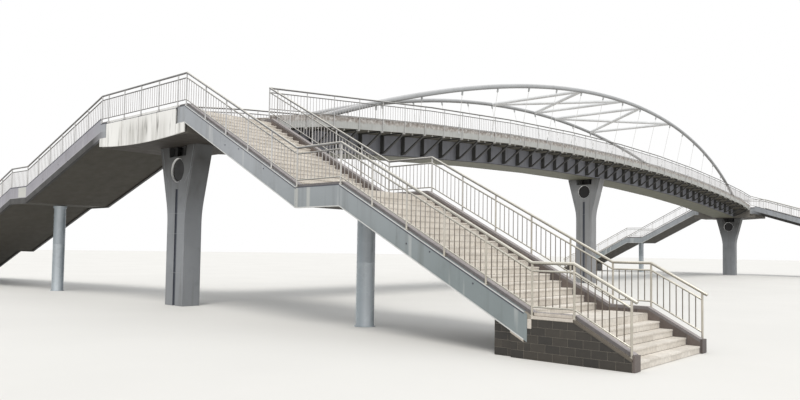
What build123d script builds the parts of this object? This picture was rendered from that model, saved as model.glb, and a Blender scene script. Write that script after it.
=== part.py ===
import math
import os

from build123d import *

os.makedirs("parts", exist_ok=True)

# Half-scale model of a steel footbridge: a cambered deck hung from two leaning arches,
# with an end landing at each side of the road and two stairs down from each landing.
# Millimetres at model size. X runs along the stairs, Y along the span, Z up.
# The origin is on the ground under the middle pier. Each end is drawn about its own
# stair axis, outward along -Y and with the steep stair towards +X, and the far end is
# the near end turned half round.

# Span and levels
half_span = 14440
deck_level = 3060
lower_landing_level = 360
landing_half_length = 1350
landing_depth = 385
joint_gap = 0.3

# Stairs
risers_per_flight = 18
steep_flights = 2
steep_going = 144
steep_landing_length = 790
lower_landing_length = 430
ground_risers = 5
ground_going = 135
gentle_flights = 3
gentle_going = 177
gentle_landing_length = 830
step_joint = 2

# Stair cross-section, measured from the line through the nosings
stair_rail_y = 840
stringer_thickness = 40
stringer_depth = 260
stringer_rise = 35
stringer_level_length = 200
kerb_width = 80
kerb_rise = 70
soffit_thickness = 15
soffit_recess = 20

# Masonry base of the steep stair
base_front_x = 6900
cheek_front_x = 7250
pedestal_length = 140

# Stair columns
column_radius = 120
column_sides = 16

# Railings
rail_height = 525
handrail_size = 35
second_rail_drop = 75
second_rail_size = 20
second_rail_thickness = 7
post_size = 25
steep_bays = 5
gentle_bays = 6
end_rail_bays = 4
corner_post_gap = 240

# Deck
deck_half_width = 1145
slab_thickness = 50
ramp_length = 1200
ramp_rise = 200
camber_rise = 587
lengths_per_half = 4
trough_inner_x = 745
trough_wall = 15
trough_height = 160
fascia_drop = 60

# Box girder and brackets
girder_half_width = 475
girder_end_level = 2690
girder_camber = 635
bracket_pitch = 655
bracket_thickness = 15
bracket_foot_gap = 35
bracket_tip_depth = 35
bracket_flange = 25
stiffener_width = 100

# Arches
arch_half_length = 12540
arch_foot_x = 850
arch_foot_rise = 80
arch_rise = 2270
arch_tilt = 17.2
rib_radius = 54
rib_sides = 10
rib_lengths = 14
shoe_length = 200
shoe_width = 150
shoe_height = 150
hanger_pitch = 1280
hanger_end_gap = 1000
hanger_radius = 5
hanger_sides = 4
stub_radius = 24
stub_sides = 6
stub_length = 90
anchor_level = 60
inner_anchor_x = 1050
brace_radius = 45
brace_sides = 8
inner_brace_hanger = 0
outer_brace_hanger = 2

# End fascia
fascia_half_length = 1120
fascia_thickness = 55
fascia_top_rise = 10
fascia_end_level = 2695
fascia_mid_level = 2635

# Piers
pier_half_width = 270
pier_depth = 320
flare_height = 1115
flare_angle = 14.6
flare_round = 1500
notch_half_width = 255
notch_depth = 175
notch_slope = 20
groove_width = 75
groove_depth = 25
groove_drop = 725
ring_drop = 405
ring_radius = 210
ring_sides = 18
ring_wall = 15
ring_recess = 10
disc_inset = 25

# Sizes that follow from those above
steep_riser = (deck_level - lower_landing_level) / (steep_flights * risers_per_flight)
gentle_riser = deck_level / (gentle_flights * risers_per_flight)
ground_riser = lower_landing_level / ground_risers
steep_run = risers_per_flight * steep_going
gentle_run = risers_per_flight * gentle_going
ground_run = (ground_risers - 1) * ground_going
stringer_inner_y = stair_rail_y - stringer_thickness / 2
stringer_outer_y = stair_rail_y + stringer_thickness / 2
kerb_inner_y = stringer_inner_y - kerb_width
soffit_low = stringer_rise - stringer_depth + soffit_recess
soffit_high = soffit_low + soffit_thickness
deck_half_length = half_span - stringer_outer_y
ramp_start = deck_half_length - ramp_length
camber_start_level = deck_level + ramp_rise
camber_radius = (ramp_start**2 + camber_rise**2) / (2 * camber_rise)
girder_radius = (deck_half_length**2 + girder_camber**2) / (2 * girder_camber)
length_pitch = ramp_start / lengths_per_half
deck_rail_x = deck_half_width + post_size / 2
post_top = rail_height - handrail_size / 2
steep_lift = (landing_half_length - deck_rail_x) * steep_riser / steep_going
gentle_lift = (landing_half_length - deck_rail_x) * gentle_riser / gentle_going
stringer_start_x = landing_half_length - stringer_level_length


def deck_curve(y):
    """Level of the walking surface's camber, with a ramp at each end."""
    if y > ramp_start:
        return deck_level + ramp_rise * (deck_half_length - y) / ramp_length
    sag = camber_radius - math.sqrt(camber_radius**2 - y**2)
    return camber_start_level + camber_rise - sag


def girder_curve(y):
    """Level of the arc that the box girder's underside follows."""
    sag = girder_radius - math.sqrt(girder_radius**2 - y**2)
    return girder_end_level + girder_camber - sag


def on_lengths(curve, y):
    """Level at y of the straight lengths whose joints lie on a curve."""
    y = abs(y)
    if y >= ramp_start:
        y_a, y_b = ramp_start, deck_half_length
    else:
        y_a = length_pitch * math.floor(y / length_pitch)
        y_b = y_a + length_pitch
    share = (y - y_a) / (y_b - y_a)
    return curve(y_a) * (1 - share) + curve(y_b) * share


def deck_height(y):
    """Level of the walking surface of the span."""
    return on_lengths(deck_curve, y)


def soffit_height(y):
    """Level of the box girder's underside."""
    return on_lengths(girder_curve, y)


def rail_base(y):
    """Line that the east railing follows: it climbs from the deck to each stair's rail."""
    share = max(0, (abs(y) - ramp_start) / ramp_length)
    lift = steep_lift if y < 0 else gentle_lift
    return deck_height(y) + share * lift


def span_breaks():
    """Joints of the span's straight lengths, with a ramp at each end."""
    inner = [i * length_pitch for i in range(-lengths_per_half, lengths_per_half + 1)]
    return [-deck_half_length] + inner + [deck_half_length]


def span_length(outline_points, x_from, x_to):
    """Extrude an outline drawn in Y and Z from one x to another."""
    with BuildSketch(Plane.YZ.offset(x_from)) as outline:
        Polygon(*outline_points, align=None)
    extrude(outline.sketch, amount=x_to - x_from, dir=(1, 0, 0))


def span_strip(y_from, y_to, low, high, x_from, x_to, line=deck_height):
    """A straight length of deck or rail between two heights above its line."""
    z_from, z_to = line(y_from), line(y_to)
    corners = [(y_from, z_from + low), (y_to, z_to + low), (y_to, z_to + high), (y_from, z_from + high)]
    span_length(corners, x_from, x_to)


def span_run(low, high, x_from, x_to, line=deck_height):
    """The same strip all along the span, in lengths with fine joints between them."""
    for y_from, y_to in runs(span_breaks()):
        span_strip(y_from + joint_gap / 2, y_to - joint_gap / 2, low, high, x_from, x_to, line)


def steep_line():
    """Points of the steep stair's nosing line, from the landing's edge to the ground."""
    points = [(landing_half_length, deck_level)]
    for flight in range(steep_flights):
        x, z = points[-1]
        points.append((x + steep_run, z - risers_per_flight * steep_riser))
        last = flight == steep_flights - 1
        length = lower_landing_length if last else steep_landing_length
        points.append((points[-1][0] + length, points[-1][1]))
    return points


def gentle_line():
    """Points of the gentle stair's nosing line, which runs the other way."""
    points = [(-landing_half_length, deck_level)]
    for flight in range(gentle_flights):
        x, z = points[-1]
        points.append((x - gentle_run, z - risers_per_flight * gentle_riser))
        if flight < gentle_flights - 1:
            points.append((points[-1][0] - gentle_landing_length, points[-1][1]))
    return points


def ground_line():
    """Points of the short flight's nosing line, from the lower landing to the ground."""
    x, z = steep_line()[-1]
    return [(x, z), (x + ground_run, z - (ground_risers - 1) * ground_riser)]


def side_panel(points, y_from, y_to):
    """Extrude an outline drawn in X and Z from one y to another."""
    with BuildSketch(Plane.XZ.offset(-y_from)) as outline:
        Polygon(*points, align=None)
    extrude(outline.sketch, amount=y_to - y_from, dir=(0, 1, 0))


def run_band(start, end, low, high, y_from, y_to):
    """A bar or plate that follows one straight run, between two heights above it."""
    gap = math.copysign(joint_gap / 2, end[0] - start[0])
    slope = (end[1] - start[1]) / (end[0] - start[0])
    (x_a, z_a), (x_b, z_b) = start, end
    x_a, z_a = x_a + gap, z_a + slope * gap
    x_b, z_b = x_b - gap, z_b - slope * gap
    outline = [(x_a, z_a + low), (x_b, z_b + low), (x_b, z_b + high), (x_a, z_a + high)]
    side_panel(outline, y_from, y_to)


def runs(points):
    """Pairs of neighbouring points."""
    return list(zip(points, points[1:]))


def on_both_sides():
    """Repeat the part so far across the stair's axis."""
    mirror(about=Plane.XZ)


def cut_at_ground():
    """Remove what lies under the ground."""
    split(bisect_by=Plane.XY, keep=Keep.TOP)


def make_pier(top):
    """A pier with two flared legs, a notch between their heads and a round opening."""
    flare_start = top - flare_height
    head_half_width = pier_half_width + flare_height * math.tan(math.radians(flare_angle))
    with BuildPart() as pier:
        with BuildSketch(Plane.XZ):
            with BuildLine():
                leg = Polyline((pier_half_width, 0), (pier_half_width, flare_start), (head_half_width, top))
                fillet(leg.vertices().sort_by(Axis.Z)[1], flare_round)
                Polyline(
                    (head_half_width, top),
                    (notch_half_width + notch_slope, top),
                    (notch_half_width, top - notch_depth),
                    (0, top - notch_depth),
                    (0, 0),
                    (pier_half_width, 0),
                )
            make_face()
            mirror(about=Plane.YZ)
            with Locations((0, top - ring_drop)):
                RegularPolygon(ring_radius, ring_sides, mode=Mode.SUBTRACT)
        extrude(amount=pier_depth / 2, both=True)
        groove_height = top - groove_drop
        with Locations((0, -pier_depth / 2, groove_height / 2)):
            Box(groove_width, 2 * groove_depth, groove_height, mode=Mode.SUBTRACT)
    return pier.part


def make_pier_ring(top):
    """The pale ring tube in the pier's opening, closed by a thin disc near each face."""
    front_y = pier_depth / 2 - ring_recess
    with BuildPart() as ring:
        with BuildSketch(Plane.XZ):
            with Locations((0, top - ring_drop)):
                RegularPolygon(ring_radius - joint_gap, ring_sides)
        extrude(amount=front_y, both=True)
        for face_y in (-front_y, front_y - disc_inset):
            with BuildSketch(Plane.XZ.offset(-face_y)):
                with Locations((0, top - ring_drop)):
                    RegularPolygon(ring_radius - ring_wall, ring_sides)
            extrude(amount=-disc_inset, mode=Mode.SUBTRACT)
    return ring.part


def make_landing():
    """The end landing: a deep steel box between the stringers and the deck."""
    with BuildPart() as landing:
        with Locations((0, 0, deck_level - landing_depth / 2)):
            Box(2 * landing_half_length, 2 * stringer_inner_y, landing_depth)
        with Locations((0, (stringer_inner_y + stringer_outer_y) / 2, deck_level - landing_depth / 2)):
            Box(2 * stringer_start_x - 2 * joint_gap, stringer_thickness, landing_depth)
    return landing.part


def make_end_fascia():
    """The pale facing of the landing's outer end, with a bowed lower edge and stepped ends."""
    step_level = deck_level + stringer_rise - stringer_depth - joint_gap
    top = deck_level + fascia_top_rise
    with BuildPart() as fascia:
        with BuildSketch(Plane.XZ.offset(stringer_inner_y)):
            with BuildLine():
                bow = ThreePointArc(
                    (-landing_half_length, fascia_end_level),
                    (0, fascia_mid_level),
                    (landing_half_length, fascia_end_level),
                )
                Polyline(
                    bow @ 1,
                    (landing_half_length, step_level),
                    (fascia_half_length, step_level),
                    (fascia_half_length, top),
                    (-fascia_half_length, top),
                    (-fascia_half_length, step_level),
                    (-landing_half_length, step_level),
                    bow @ 0,
                )
            make_face()
        extrude(amount=fascia_thickness)
    return fascia.part


def make_stringers():
    """The plates that carry both stairs, one solid for each straight run."""
    plate = (stringer_rise - stringer_depth, stringer_rise)
    with BuildPart() as stringers:
        level_start = [(stringer_start_x, deck_level), (landing_half_length, deck_level)]
        steep_points = steep_line()
        for start, end in runs(level_start) + runs(steep_points[:3]):
            run_band(start, end, *plate, stringer_inner_y, stringer_outer_y)
        start, end = steep_points[2], steep_points[3]
        slope = (end[1] - start[1]) / (end[0] - start[0])
        foot = (cheek_front_x, start[1] + slope * (cheek_front_x - start[0]))
        run_band(start, foot, *plate, stringer_inner_y, stringer_outer_y)
        level_start = [(-stringer_start_x, deck_level), (-landing_half_length, deck_level)]
        for start, end in runs(level_start) + runs(gentle_line()):
            run_band(start, end, *plate, stringer_inner_y, stringer_outer_y)
        on_both_sides()
        cut_at_ground()
    return stringers.part


def make_soffits():
    """The plates that close both stairs from below, between the stringers."""
    width = (-stringer_inner_y, stringer_inner_y)
    with BuildPart() as soffits:
        for start, end in runs(steep_line()[:4]) + runs(gentle_line()):
            run_band(start, end, soffit_low, soffit_high, *width)
        cut_at_ground()
    return soffits.part


def make_kerbs():
    """The stone kerbs beside the steps, along the landings and beside the short flight."""
    sides = (kerb_inner_y, stringer_inner_y)
    with BuildPart() as kerbs:
        inner_start = [(stringer_start_x, deck_level), (landing_half_length, deck_level)]
        for start, end in runs(inner_start):
            run_band(start, end, 0, kerb_rise, *sides)
            run_band((-start[0], start[1]), (-end[0], end[1]), 0, kerb_rise, *sides)
        for start, end in runs(steep_line()[:4]) + runs(gentle_line()):
            run_band(start, end, soffit_high, kerb_rise, *sides)
        lower = steep_line()[3:]
        run_band(*lower, 0, kerb_rise, *sides)
        (x_a, z_a), (x_b, z_b) = ground_line()
        outline = [
            (x_a + joint_gap, 0),
            (x_b, 0),
            (x_b, z_b + kerb_rise),
            (x_a + joint_gap, z_a + kerb_rise),
        ]
        side_panel(outline, *sides)
        on_both_sides()
        cut_at_ground()
        end_kerb = [(-stringer_start_x, deck_level), (stringer_start_x, deck_level)]
        run_band(*end_kerb, 0, kerb_rise, -stringer_inner_y, -kerb_inner_y)
    return kerbs.part


def step_block(nosing_x, top, going, base_points):
    """One step, as wide as the kerbs leave, from its top down to what carries it."""
    direction = math.copysign(1, going)
    inner = nosing_x - going + direction * step_joint / 2
    outer = nosing_x - direction * step_joint / 2
    low_inner, low_outer = base_points
    outline = [(inner, low_inner), (outer, low_outer), (outer, top), (inner, top)]
    side_panel(outline, joint_gap - kerb_inner_y, kerb_inner_y - joint_gap)


def make_flight(start, going, riser):
    """The steps of one flight and their seats on the sloping soffit plate."""
    start_x, start_z = start
    slope = riser / abs(going)
    for step in range(1, risers_per_flight + 1):
        nosing_x = start_x + step * going
        top = start_z - step * riser
        seat_outer = top + soffit_high + slope * step_joint / 2
        seat_inner = top + riser + soffit_high - slope * step_joint / 2
        step_block(nosing_x, top, going, (seat_inner, seat_outer))


def landing_floor(start, end):
    """The floor of an intermediate landing, on its level soffit plate."""
    direction = math.copysign(1, end[0] - start[0])
    x_a = start[0] + direction * step_joint / 2
    x_b = end[0] - direction * step_joint / 2
    low = start[1] + soffit_high
    outline = [(x_a, low), (x_b, low), (x_b, start[1]), (x_a, start[1])]
    side_panel(outline, joint_gap - kerb_inner_y, kerb_inner_y - joint_gap)


def make_steep_steps():
    """Steps of the steep stair, its middle landing's floor and the short ground flight."""
    points = steep_line()
    with BuildPart() as steps:
        for flight in range(steep_flights):
            make_flight(points[2 * flight], steep_going, steep_riser)
        landing_floor(points[1], points[2])
        (x, z), _ = ground_line()
        for step in range(1, ground_risers):
            top = z - step * ground_riser
            step_block(x + step * ground_going, top, ground_going, (0, 0))
    return steps.part


def make_gentle_steps():
    """Steps of the gentle stair and the floors of its two landings."""
    points = gentle_line()
    with BuildPart() as steps:
        for flight in range(gentle_flights):
            make_flight(points[2 * flight], -gentle_going, gentle_riser)
            if flight < gentle_flights - 1:
                landing_floor(points[2 * flight + 1], points[2 * flight + 2])
        cut_at_ground()
    return steps.part


def make_steep_base():
    """The masonry base under the lower landing, with cheeks beside the short flight."""
    points = steep_line()
    (x_a, z_a), (x_b, z_b) = points[2], points[3]
    slope = (z_b - z_a) / (x_b - x_a)
    front_level = z_a + slope * (base_front_x - x_a) + soffit_low
    (x_c, z_c), (x_d, z_d) = ground_line()
    with BuildPart() as base:
        core = [
            (base_front_x, 0),
            (x_c, 0),
            (x_c, z_c),
            (x_b, z_c),
            (x_b, z_c + soffit_low),
            (base_front_x, front_level),
        ]
        side_panel(core, -stringer_inner_y, stringer_inner_y)
        cheek_level = z_a + slope * (cheek_front_x - x_a) + stringer_rise
        cheek = [
            (cheek_front_x, 0),
            (x_d, 0),
            (x_d, z_d + stringer_rise),
            (x_c, z_c + stringer_rise),
            (x_b, z_c + stringer_rise),
            (cheek_front_x, cheek_level),
        ]
        side_panel(cheek, stringer_inner_y, stringer_outer_y)
        side_panel(cheek, -stringer_outer_y, -stringer_inner_y)
        plate_foot = cheek_level - stringer_depth
        pedestal = [
            (cheek_front_x - pedestal_length, 0),
            (cheek_front_x, 0),
            (cheek_front_x, plate_foot),
            (cheek_front_x - pedestal_length, plate_foot - slope * pedestal_length),
        ]
        side_panel(pedestal, stringer_inner_y, stringer_outer_y)
        side_panel(pedestal, -stringer_outer_y, -stringer_inner_y)
    return base.part


def make_columns():
    """Round steel columns on the stair axis, under the middle of each landing."""
    steep_points, gentle_points = steep_line(), gentle_line()
    landings = [
        (steep_points[1], steep_points[2]),
        (gentle_points[1], gentle_points[2]),
        (gentle_points[3], gentle_points[4]),
    ]
    with BuildPart() as columns:
        for start, end in landings:
            with BuildSketch(Plane.XY):
                with Locations(((start[0] + end[0]) / 2, 0)):
                    RegularPolygon(column_radius, column_sides)
            extrude(amount=start[1] + soffit_low)
    return columns.part


def to_corner(line):
    """A stair's line with its first run carried on uphill to the deck's corner post."""
    (x_a, z_a), (x_b, z_b) = line[:2]
    corner_x = math.copysign(deck_rail_x, x_a)
    slope = (z_b - z_a) / (x_b - x_a)
    return [(corner_x, z_a + slope * (corner_x - x_a))] + line[1:]


def whole_line(gentle, steep):
    """Both stairs' lines as one, from the gentle stair's foot to the steep stair's."""
    foot_x, foot_z = ground_line()[1]
    beyond = (foot_x + ground_going, foot_z - ground_riser)
    return gentle[::-1] + steep + [(foot_x, foot_z), beyond]


def level_at(points, x):
    """Height of a line of points at a place along the stairs."""
    for (x_a, z_a), (x_b, z_b) in runs(points):
        if x_a <= x < x_b:
            return z_a + (z_b - z_a) * (x - x_a) / (x_b - x_a)
    return 0


def flight_posts(start_x, end_x, bays):
    """Post places along one flight, from its first post to its foot."""
    return [start_x + (end_x - start_x) * i / bays for i in range(bays + 1)]


def stair_post_places(gentle, steep):
    """Places of the posts beside both stairs, whose railings follow the given lines."""
    places = []
    for flight in range(steep_flights):
        places += flight_posts(steep[2 * flight][0], steep[2 * flight + 1][0], steep_bays)
    places += [steep[-1][0], ground_line()[1][0] - post_size / 2]
    for flight in range(gentle_flights):
        places += flight_posts(gentle[2 * flight][0], gentle[2 * flight + 1][0], gentle_bays)
    places[-1] += post_size
    return places


def stand_posts(places, rail_points):
    """Posts from the stringers and cheeks up to the handrail that follows a line."""
    floor_points = whole_line(gentle_line(), steep_line())
    for x in places:
        edges = (x - post_size / 2, x + post_size / 2)
        low = max(level_at(floor_points, edge) for edge in edges) + stringer_rise + joint_gap
        high = min(level_at(rail_points, edge) for edge in edges) + post_top - joint_gap
        with Locations((x, stair_rail_y, (low + high) / 2)):
            Box(post_size, post_size, high - low)


def make_stair_posts():
    """Posts of the stair railings, and of the landing's outer end."""
    gentle, steep = gentle_line(), steep_line()
    with BuildPart() as inner_side:
        inner = (to_corner(gentle), to_corner(steep))
        stand_posts(stair_post_places(*inner), whole_line(*inner))
    with BuildPart() as outer_side:
        stand_posts(stair_post_places(gentle, steep), whole_line(gentle, steep))
        end_half = landing_half_length - corner_post_gap
        low = deck_level + fascia_top_rise
        high = deck_level + post_top - joint_gap
        for x in flight_posts(-end_half, end_half, end_rail_bays):
            with Locations((x, stair_rail_y, (low + high) / 2)):
                Box(post_size, post_size, high - low)
    return inner_side.part + outer_side.part.mirror(Plane.XZ)


def rail_bands(points):
    """Handrail and second rail along a line of points."""
    hand_low = rail_height - handrail_size / 2
    hand_y = stair_rail_y - handrail_size / 2
    second_low = rail_height - second_rail_drop - second_rail_size / 2
    second_y = stair_rail_y - post_size / 2 - second_rail_thickness
    for start, end in runs(points):
        run_band(start, end, hand_low, hand_low + handrail_size, hand_y, hand_y + handrail_size)
        second = (second_low, second_low + second_rail_size)
        run_band(start, end, *second, second_y, second_y + second_rail_thickness)


def make_stair_rails():
    """Rails of both stairs, of the lower landing's sides and of the landing's outer end."""
    gentle = gentle_line()
    steep = steep_line() + ground_line()[1:]
    with BuildPart() as inner_side:
        rail_bands(to_corner(gentle))
        rail_bands(to_corner(steep))
    with BuildPart() as outer_side:
        rail_bands(gentle[::-1] + steep)
    return inner_side.part + outer_side.part.mirror(Plane.XZ)


def make_girder():
    """The box girder, in straight lengths, with its underside on a flatter arc than the deck."""
    with BuildPart() as girder:
        for y_from, y_to in runs(span_breaks()):
            y_a, y_b = y_from + joint_gap / 2, y_to - joint_gap / 2
            corners = [
                (y_a, soffit_height(y_a)),
                (y_b, soffit_height(y_b)),
                (y_b, deck_height(y_b) - slab_thickness),
                (y_a, deck_height(y_a) - slab_thickness),
            ]
            span_length(corners, -girder_half_width, girder_half_width)
    return girder.part


def make_deck_slab():
    """The deck plate, from trough wall to trough wall."""
    edge = deck_half_width - trough_wall
    with BuildPart() as slab:
        span_run(-slab_thickness, 0, -edge, edge)
    return slab.part


def make_troughs():
    """The long plant troughs at the deck's edges, whose outer walls are its fascia."""
    with BuildPart() as troughs:
        span_run(-fascia_drop, trough_height, deck_half_width - trough_wall, deck_half_width)
        span_run(0, trough_height, trough_inner_x, trough_inner_x + trough_wall)
        mirror(about=Plane.YZ)
    return troughs.part


def bracket_places():
    """Places along the span of the brackets and posts."""
    count = math.floor(deck_half_length / bracket_pitch + 0.5)
    half = [(i + 0.5) * bracket_pitch for i in range(count)]
    return [-y for y in reversed(half)] + half


def deck_fall(y, thickness):
    """How far the deck falls across half the thickness of what stands at y."""
    return abs(deck_height(y + thickness / 2) - deck_height(y - thickness / 2)) / 2


def make_brackets():
    """Open cantilever brackets under the deck's edges, on stiffeners up the girder's webs."""
    web, tip = girder_half_width, deck_half_width - trough_wall
    strut_x = web + stiffener_width
    with BuildPart() as brackets:
        for y in bracket_places():
            fall = deck_fall(y, bracket_thickness)
            top = deck_height(y) - slab_thickness - fall - joint_gap
            foot = soffit_height(y) + bracket_foot_gap
            strut_drop = top - bracket_tip_depth - foot
            strut_height = bracket_tip_depth * math.hypot(tip - strut_x, strut_drop) / (tip - strut_x)
            slope = strut_drop / (tip - strut_x)
            flange = top - bracket_flange
            inner_foot = foot + strut_height
            with BuildSketch(Plane.XZ.offset(-y - bracket_thickness / 2)):
                Polygon(
                    (web, top),
                    (tip, top),
                    (tip, top - bracket_tip_depth),
                    (strut_x, foot),
                    (web, foot),
                    align=None,
                )
                Polygon(
                    (strut_x, flange),
                    (strut_x + (flange - inner_foot) / slope, flange),
                    (strut_x, inner_foot),
                    align=None,
                    mode=Mode.SUBTRACT,
                )
            extrude(amount=bracket_thickness)
        mirror(about=Plane.YZ)
    return brackets.part


def make_deck_posts():
    """Railing posts on the outside of the trough walls, down to the bracket tips."""
    with BuildPart() as posts:
        for y in bracket_places():
            low = deck_height(y) - fascia_drop - bracket_tip_depth
            high = rail_base(y) + post_top - deck_fall(y, post_size) - joint_gap
            with Locations((deck_rail_x, y, (low + high) / 2)):
                Box(post_size, post_size, high - low)
    return posts.part + posts.part.rotate(Axis.Z, 180)


def make_deck_rails():
    """Handrail and second rail along both edges of the deck."""
    hand_low = rail_height - handrail_size / 2
    hand_x = deck_rail_x - handrail_size / 2
    second_low = rail_height - second_rail_drop - second_rail_size / 2
    second_x = deck_rail_x - post_size / 2 - second_rail_thickness
    with BuildPart() as rails:
        span_run(hand_low, hand_low + handrail_size, hand_x, hand_x + handrail_size, rail_base)
        second = (second_low, second_low + second_rail_size)
        span_run(*second, second_x, second_x + second_rail_thickness, rail_base)
    return rails.part + rails.part.rotate(Axis.Z, 180)


# The arch rib's joints lie on an arc in a plane that leans outward.
arch_foot_level = deck_height(arch_half_length) + arch_foot_rise
lean = math.radians(arch_tilt)
slant_rise = arch_rise / math.cos(lean)
rib_arc_radius = (arch_half_length**2 + slant_rise**2) / (2 * slant_rise)
rib_half_angle = math.asin(arch_half_length / rib_arc_radius)
rib_side = Vector(math.cos(lean), 0, -math.sin(lean))


def rib_arc(y):
    """Point of the east rib's arc at a place along the span."""
    up = slant_rise - rib_arc_radius + math.sqrt(rib_arc_radius**2 - y**2)
    return Vector(arch_foot_x + up * math.sin(lean), y, arch_foot_level + up * math.cos(lean))


def rib_joints():
    """Places along the span of the joints between the rib's straight lengths."""
    shares = [2 * i / rib_lengths - 1 for i in range(rib_lengths + 1)]
    return [rib_arc_radius * math.sin(share * rib_half_angle) for share in shares]


def rib_point(y):
    """Centre of the east rib, on its straight lengths, at a place along the span."""
    for y_a, y_b in runs(rib_joints()):
        if y_a <= y <= y_b:
            return rib_arc(y_a) + (rib_arc(y_b) - rib_arc(y_a)) * ((y - y_a) / (y_b - y_a))
    return rib_arc(y)


def rib_length(y_a, y_b, radius, gap):
    """One straight length of the rib, mitred at its joints and cut upright at the feet."""
    start, end = rib_arc(y_a), rib_arc(y_b)
    along = (end - start).normalized()
    cuts = []
    for y, point, inward in ((y_a, start, 1), (y_b, end, -1)):
        at_foot = abs(y) > arch_half_length - 1
        cut_normal = Vector(0, 1, 0) if at_foot else rib_arc(y + 1) - rib_arc(y - 1)
        normal = cut_normal.normalized() * inward
        cuts.append(Plane(origin=point + normal * gap, z_dir=normal))
    with BuildPart() as length:
        with BuildSketch(Plane(origin=start - along * radius, x_dir=rib_side, z_dir=along)):
            RegularPolygon(radius, rib_sides)
        extrude(amount=(end - start).length + 2 * radius)
        for cut in cuts:
            split(bisect_by=cut, keep=Keep.TOP)
    return length.part


def make_rib():
    """The east arch rib, in site-welded straight lengths, with a shoe at each foot."""
    lengths = [rib_length(y_a, y_b, rib_radius, joint_gap / 2) for y_a, y_b in runs(rib_joints())]
    x_in = arch_foot_x - shoe_width / 2
    with BuildPart() as rib:
        add(lengths)
        for side in (-1, 1):
            y_foot = side * (arch_half_length + joint_gap)
            y_in, y_out = sorted((y_foot, y_foot + side * shoe_length))
            span_strip(y_in, y_out, 0, shoe_height, x_in, x_in + shoe_width)
    return rib.part


def hanger_places():
    """Places along the span of the hangers on one half."""
    count = math.floor((arch_half_length - hanger_end_gap) / hanger_pitch + 0.5)
    return [(i + 0.5) * hanger_pitch for i in range(count)]


def hanger_foot(y):
    """Lower end of a hanger: outside the fascia, or in the trough near the arch's foot."""
    x = rib_point(y).X
    outside = deck_rail_x + handrail_size / 2 + 2 * hanger_radius
    if x > outside:
        return Vector(deck_half_width + hanger_radius + joint_gap, y, deck_height(y) + anchor_level)
    return Vector(min(x, inner_anchor_x), y, deck_height(y) + hanger_radius / 2)


def rib_clearance(y, direction):
    """Distance from the rib's centre at which a hanger's stub clears the rib's skin."""
    along = (rib_point(y + 1) - rib_point(y - 1)).normalized()
    across = direction - along * direction.dot(along)
    angle = math.atan2(across.dot(along.cross(rib_side)), across.dot(rib_side))
    corner = 2 * math.pi / rib_sides
    from_corner = abs((angle + corner / 2) % corner - corner / 2)
    skin = rib_radius * math.cos(from_corner)
    stub_reach = stub_radius * math.cos(math.pi / stub_sides)
    return (skin + joint_gap + stub_reach * abs(direction.dot(along))) / across.length


def make_hangers():
    """Hanger rods with thick stubs at the ribs, on both arches."""
    with BuildPart() as hangers:
        for place in hanger_places():
            for y in (-place, place):
                head, foot = rib_point(y), hanger_foot(y)
                direction = (foot - head).normalized()
                start = head + direction * rib_clearance(y, direction)
                stub_plane = Plane(origin=start, z_dir=direction)
                with BuildSketch(stub_plane):
                    RegularPolygon(stub_radius, stub_sides)
                extrude(amount=stub_length - joint_gap)
                with BuildSketch(stub_plane.offset(stub_length)):
                    RegularPolygon(hanger_radius, hanger_sides)
                extrude(amount=(foot - start).length - stub_length)
        mirror(about=Plane.YZ)
    return hangers.part


def brace(start, end):
    """One bracing tube between two points."""
    axis = end - start
    with BuildSketch(Plane(origin=start, z_dir=axis.normalized())) as section:
        RegularPolygon(brace_radius, brace_sides)
    extrude(section.sketch, amount=axis.length, dir=axis.normalized())


def make_bracing():
    """Struts and crossed diagonals between the ribs, one welded panel on each half."""
    outer_y = (outer_brace_hanger + 1) * hanger_pitch
    near_runs = [(y_a, y_b) for y_a, y_b in runs(rib_joints()) if max(-y_b, y_a) < outer_y]
    copes = [rib_length(y_a, y_b, rib_radius + joint_gap, 0) for y_a, y_b in near_runs]
    with BuildPart() as bracing:
        for side in (-1, 1):
            inner = rib_point(side * (inner_brace_hanger + 0.5) * hanger_pitch)
            outer = rib_point(side * (outer_brace_hanger + 0.5) * hanger_pitch)
            west_inner = Vector(-inner.X, inner.Y, inner.Z)
            west_outer = Vector(-outer.X, outer.Y, outer.Z)
            brace(west_inner, inner)
            brace(west_outer, outer)
            brace(west_inner, outer)
            brace(inner, west_outer)
        add(copes, mode=Mode.SUBTRACT)
        add([cope.mirror(Plane.YZ) for cope in copes], mode=Mode.SUBTRACT)
    return bracing.part


def save(part, name):
    """Label a finished piece and write its file."""
    part.label = name
    export_step(part, f"parts/{name}.step")


# Each end's place: the near end stands as drawn and the far end is turned half round.
end_places = {
    "near": Location((0, -half_span, 0)),
    "far": Location((0, half_span, 0), (0, 0, 180)),
}
end_pieces = {
    "pier": make_pier(deck_level - landing_depth),
    "landing": make_landing(),
    "end_fascia": make_end_fascia(),
    "stringers": make_stringers(),
    "stair_soffits": make_soffits(),
    "stair_kerbs": make_kerbs(),
    "steep_steps": make_steep_steps(),
    "gentle_steps": make_gentle_steps(),
    "steep_base": make_steep_base(),
    "stair_columns": make_columns(),
    "stair_posts": make_stair_posts(),
    "stair_rails": make_stair_rails(),
    "pier_ring": make_pier_ring(deck_level - landing_depth),
}
for end, place in end_places.items():
    for piece, part in end_pieces.items():
        save(part.moved(place), f"{end}_{piece}")

mid_top = soffit_height(pier_depth / 2)
save(make_pier(mid_top), "mid_pier")
save(make_pier_ring(mid_top), "mid_pier_ring")
save(make_girder(), "box_girder")
save(make_deck_slab(), "deck_slab")
save(make_troughs(), "edge_troughs")
save(make_brackets(), "deck_brackets")
save(make_deck_posts(), "deck_posts")
save(make_deck_rails(), "deck_rails")
east_rib = make_rib()
save(east_rib, "east_arch_rib")
save(east_rib.mirror(Plane.YZ), "west_arch_rib")
save(make_hangers(), "arch_hangers")
save(make_bracing(), "arch_bracing")
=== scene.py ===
import math

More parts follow.
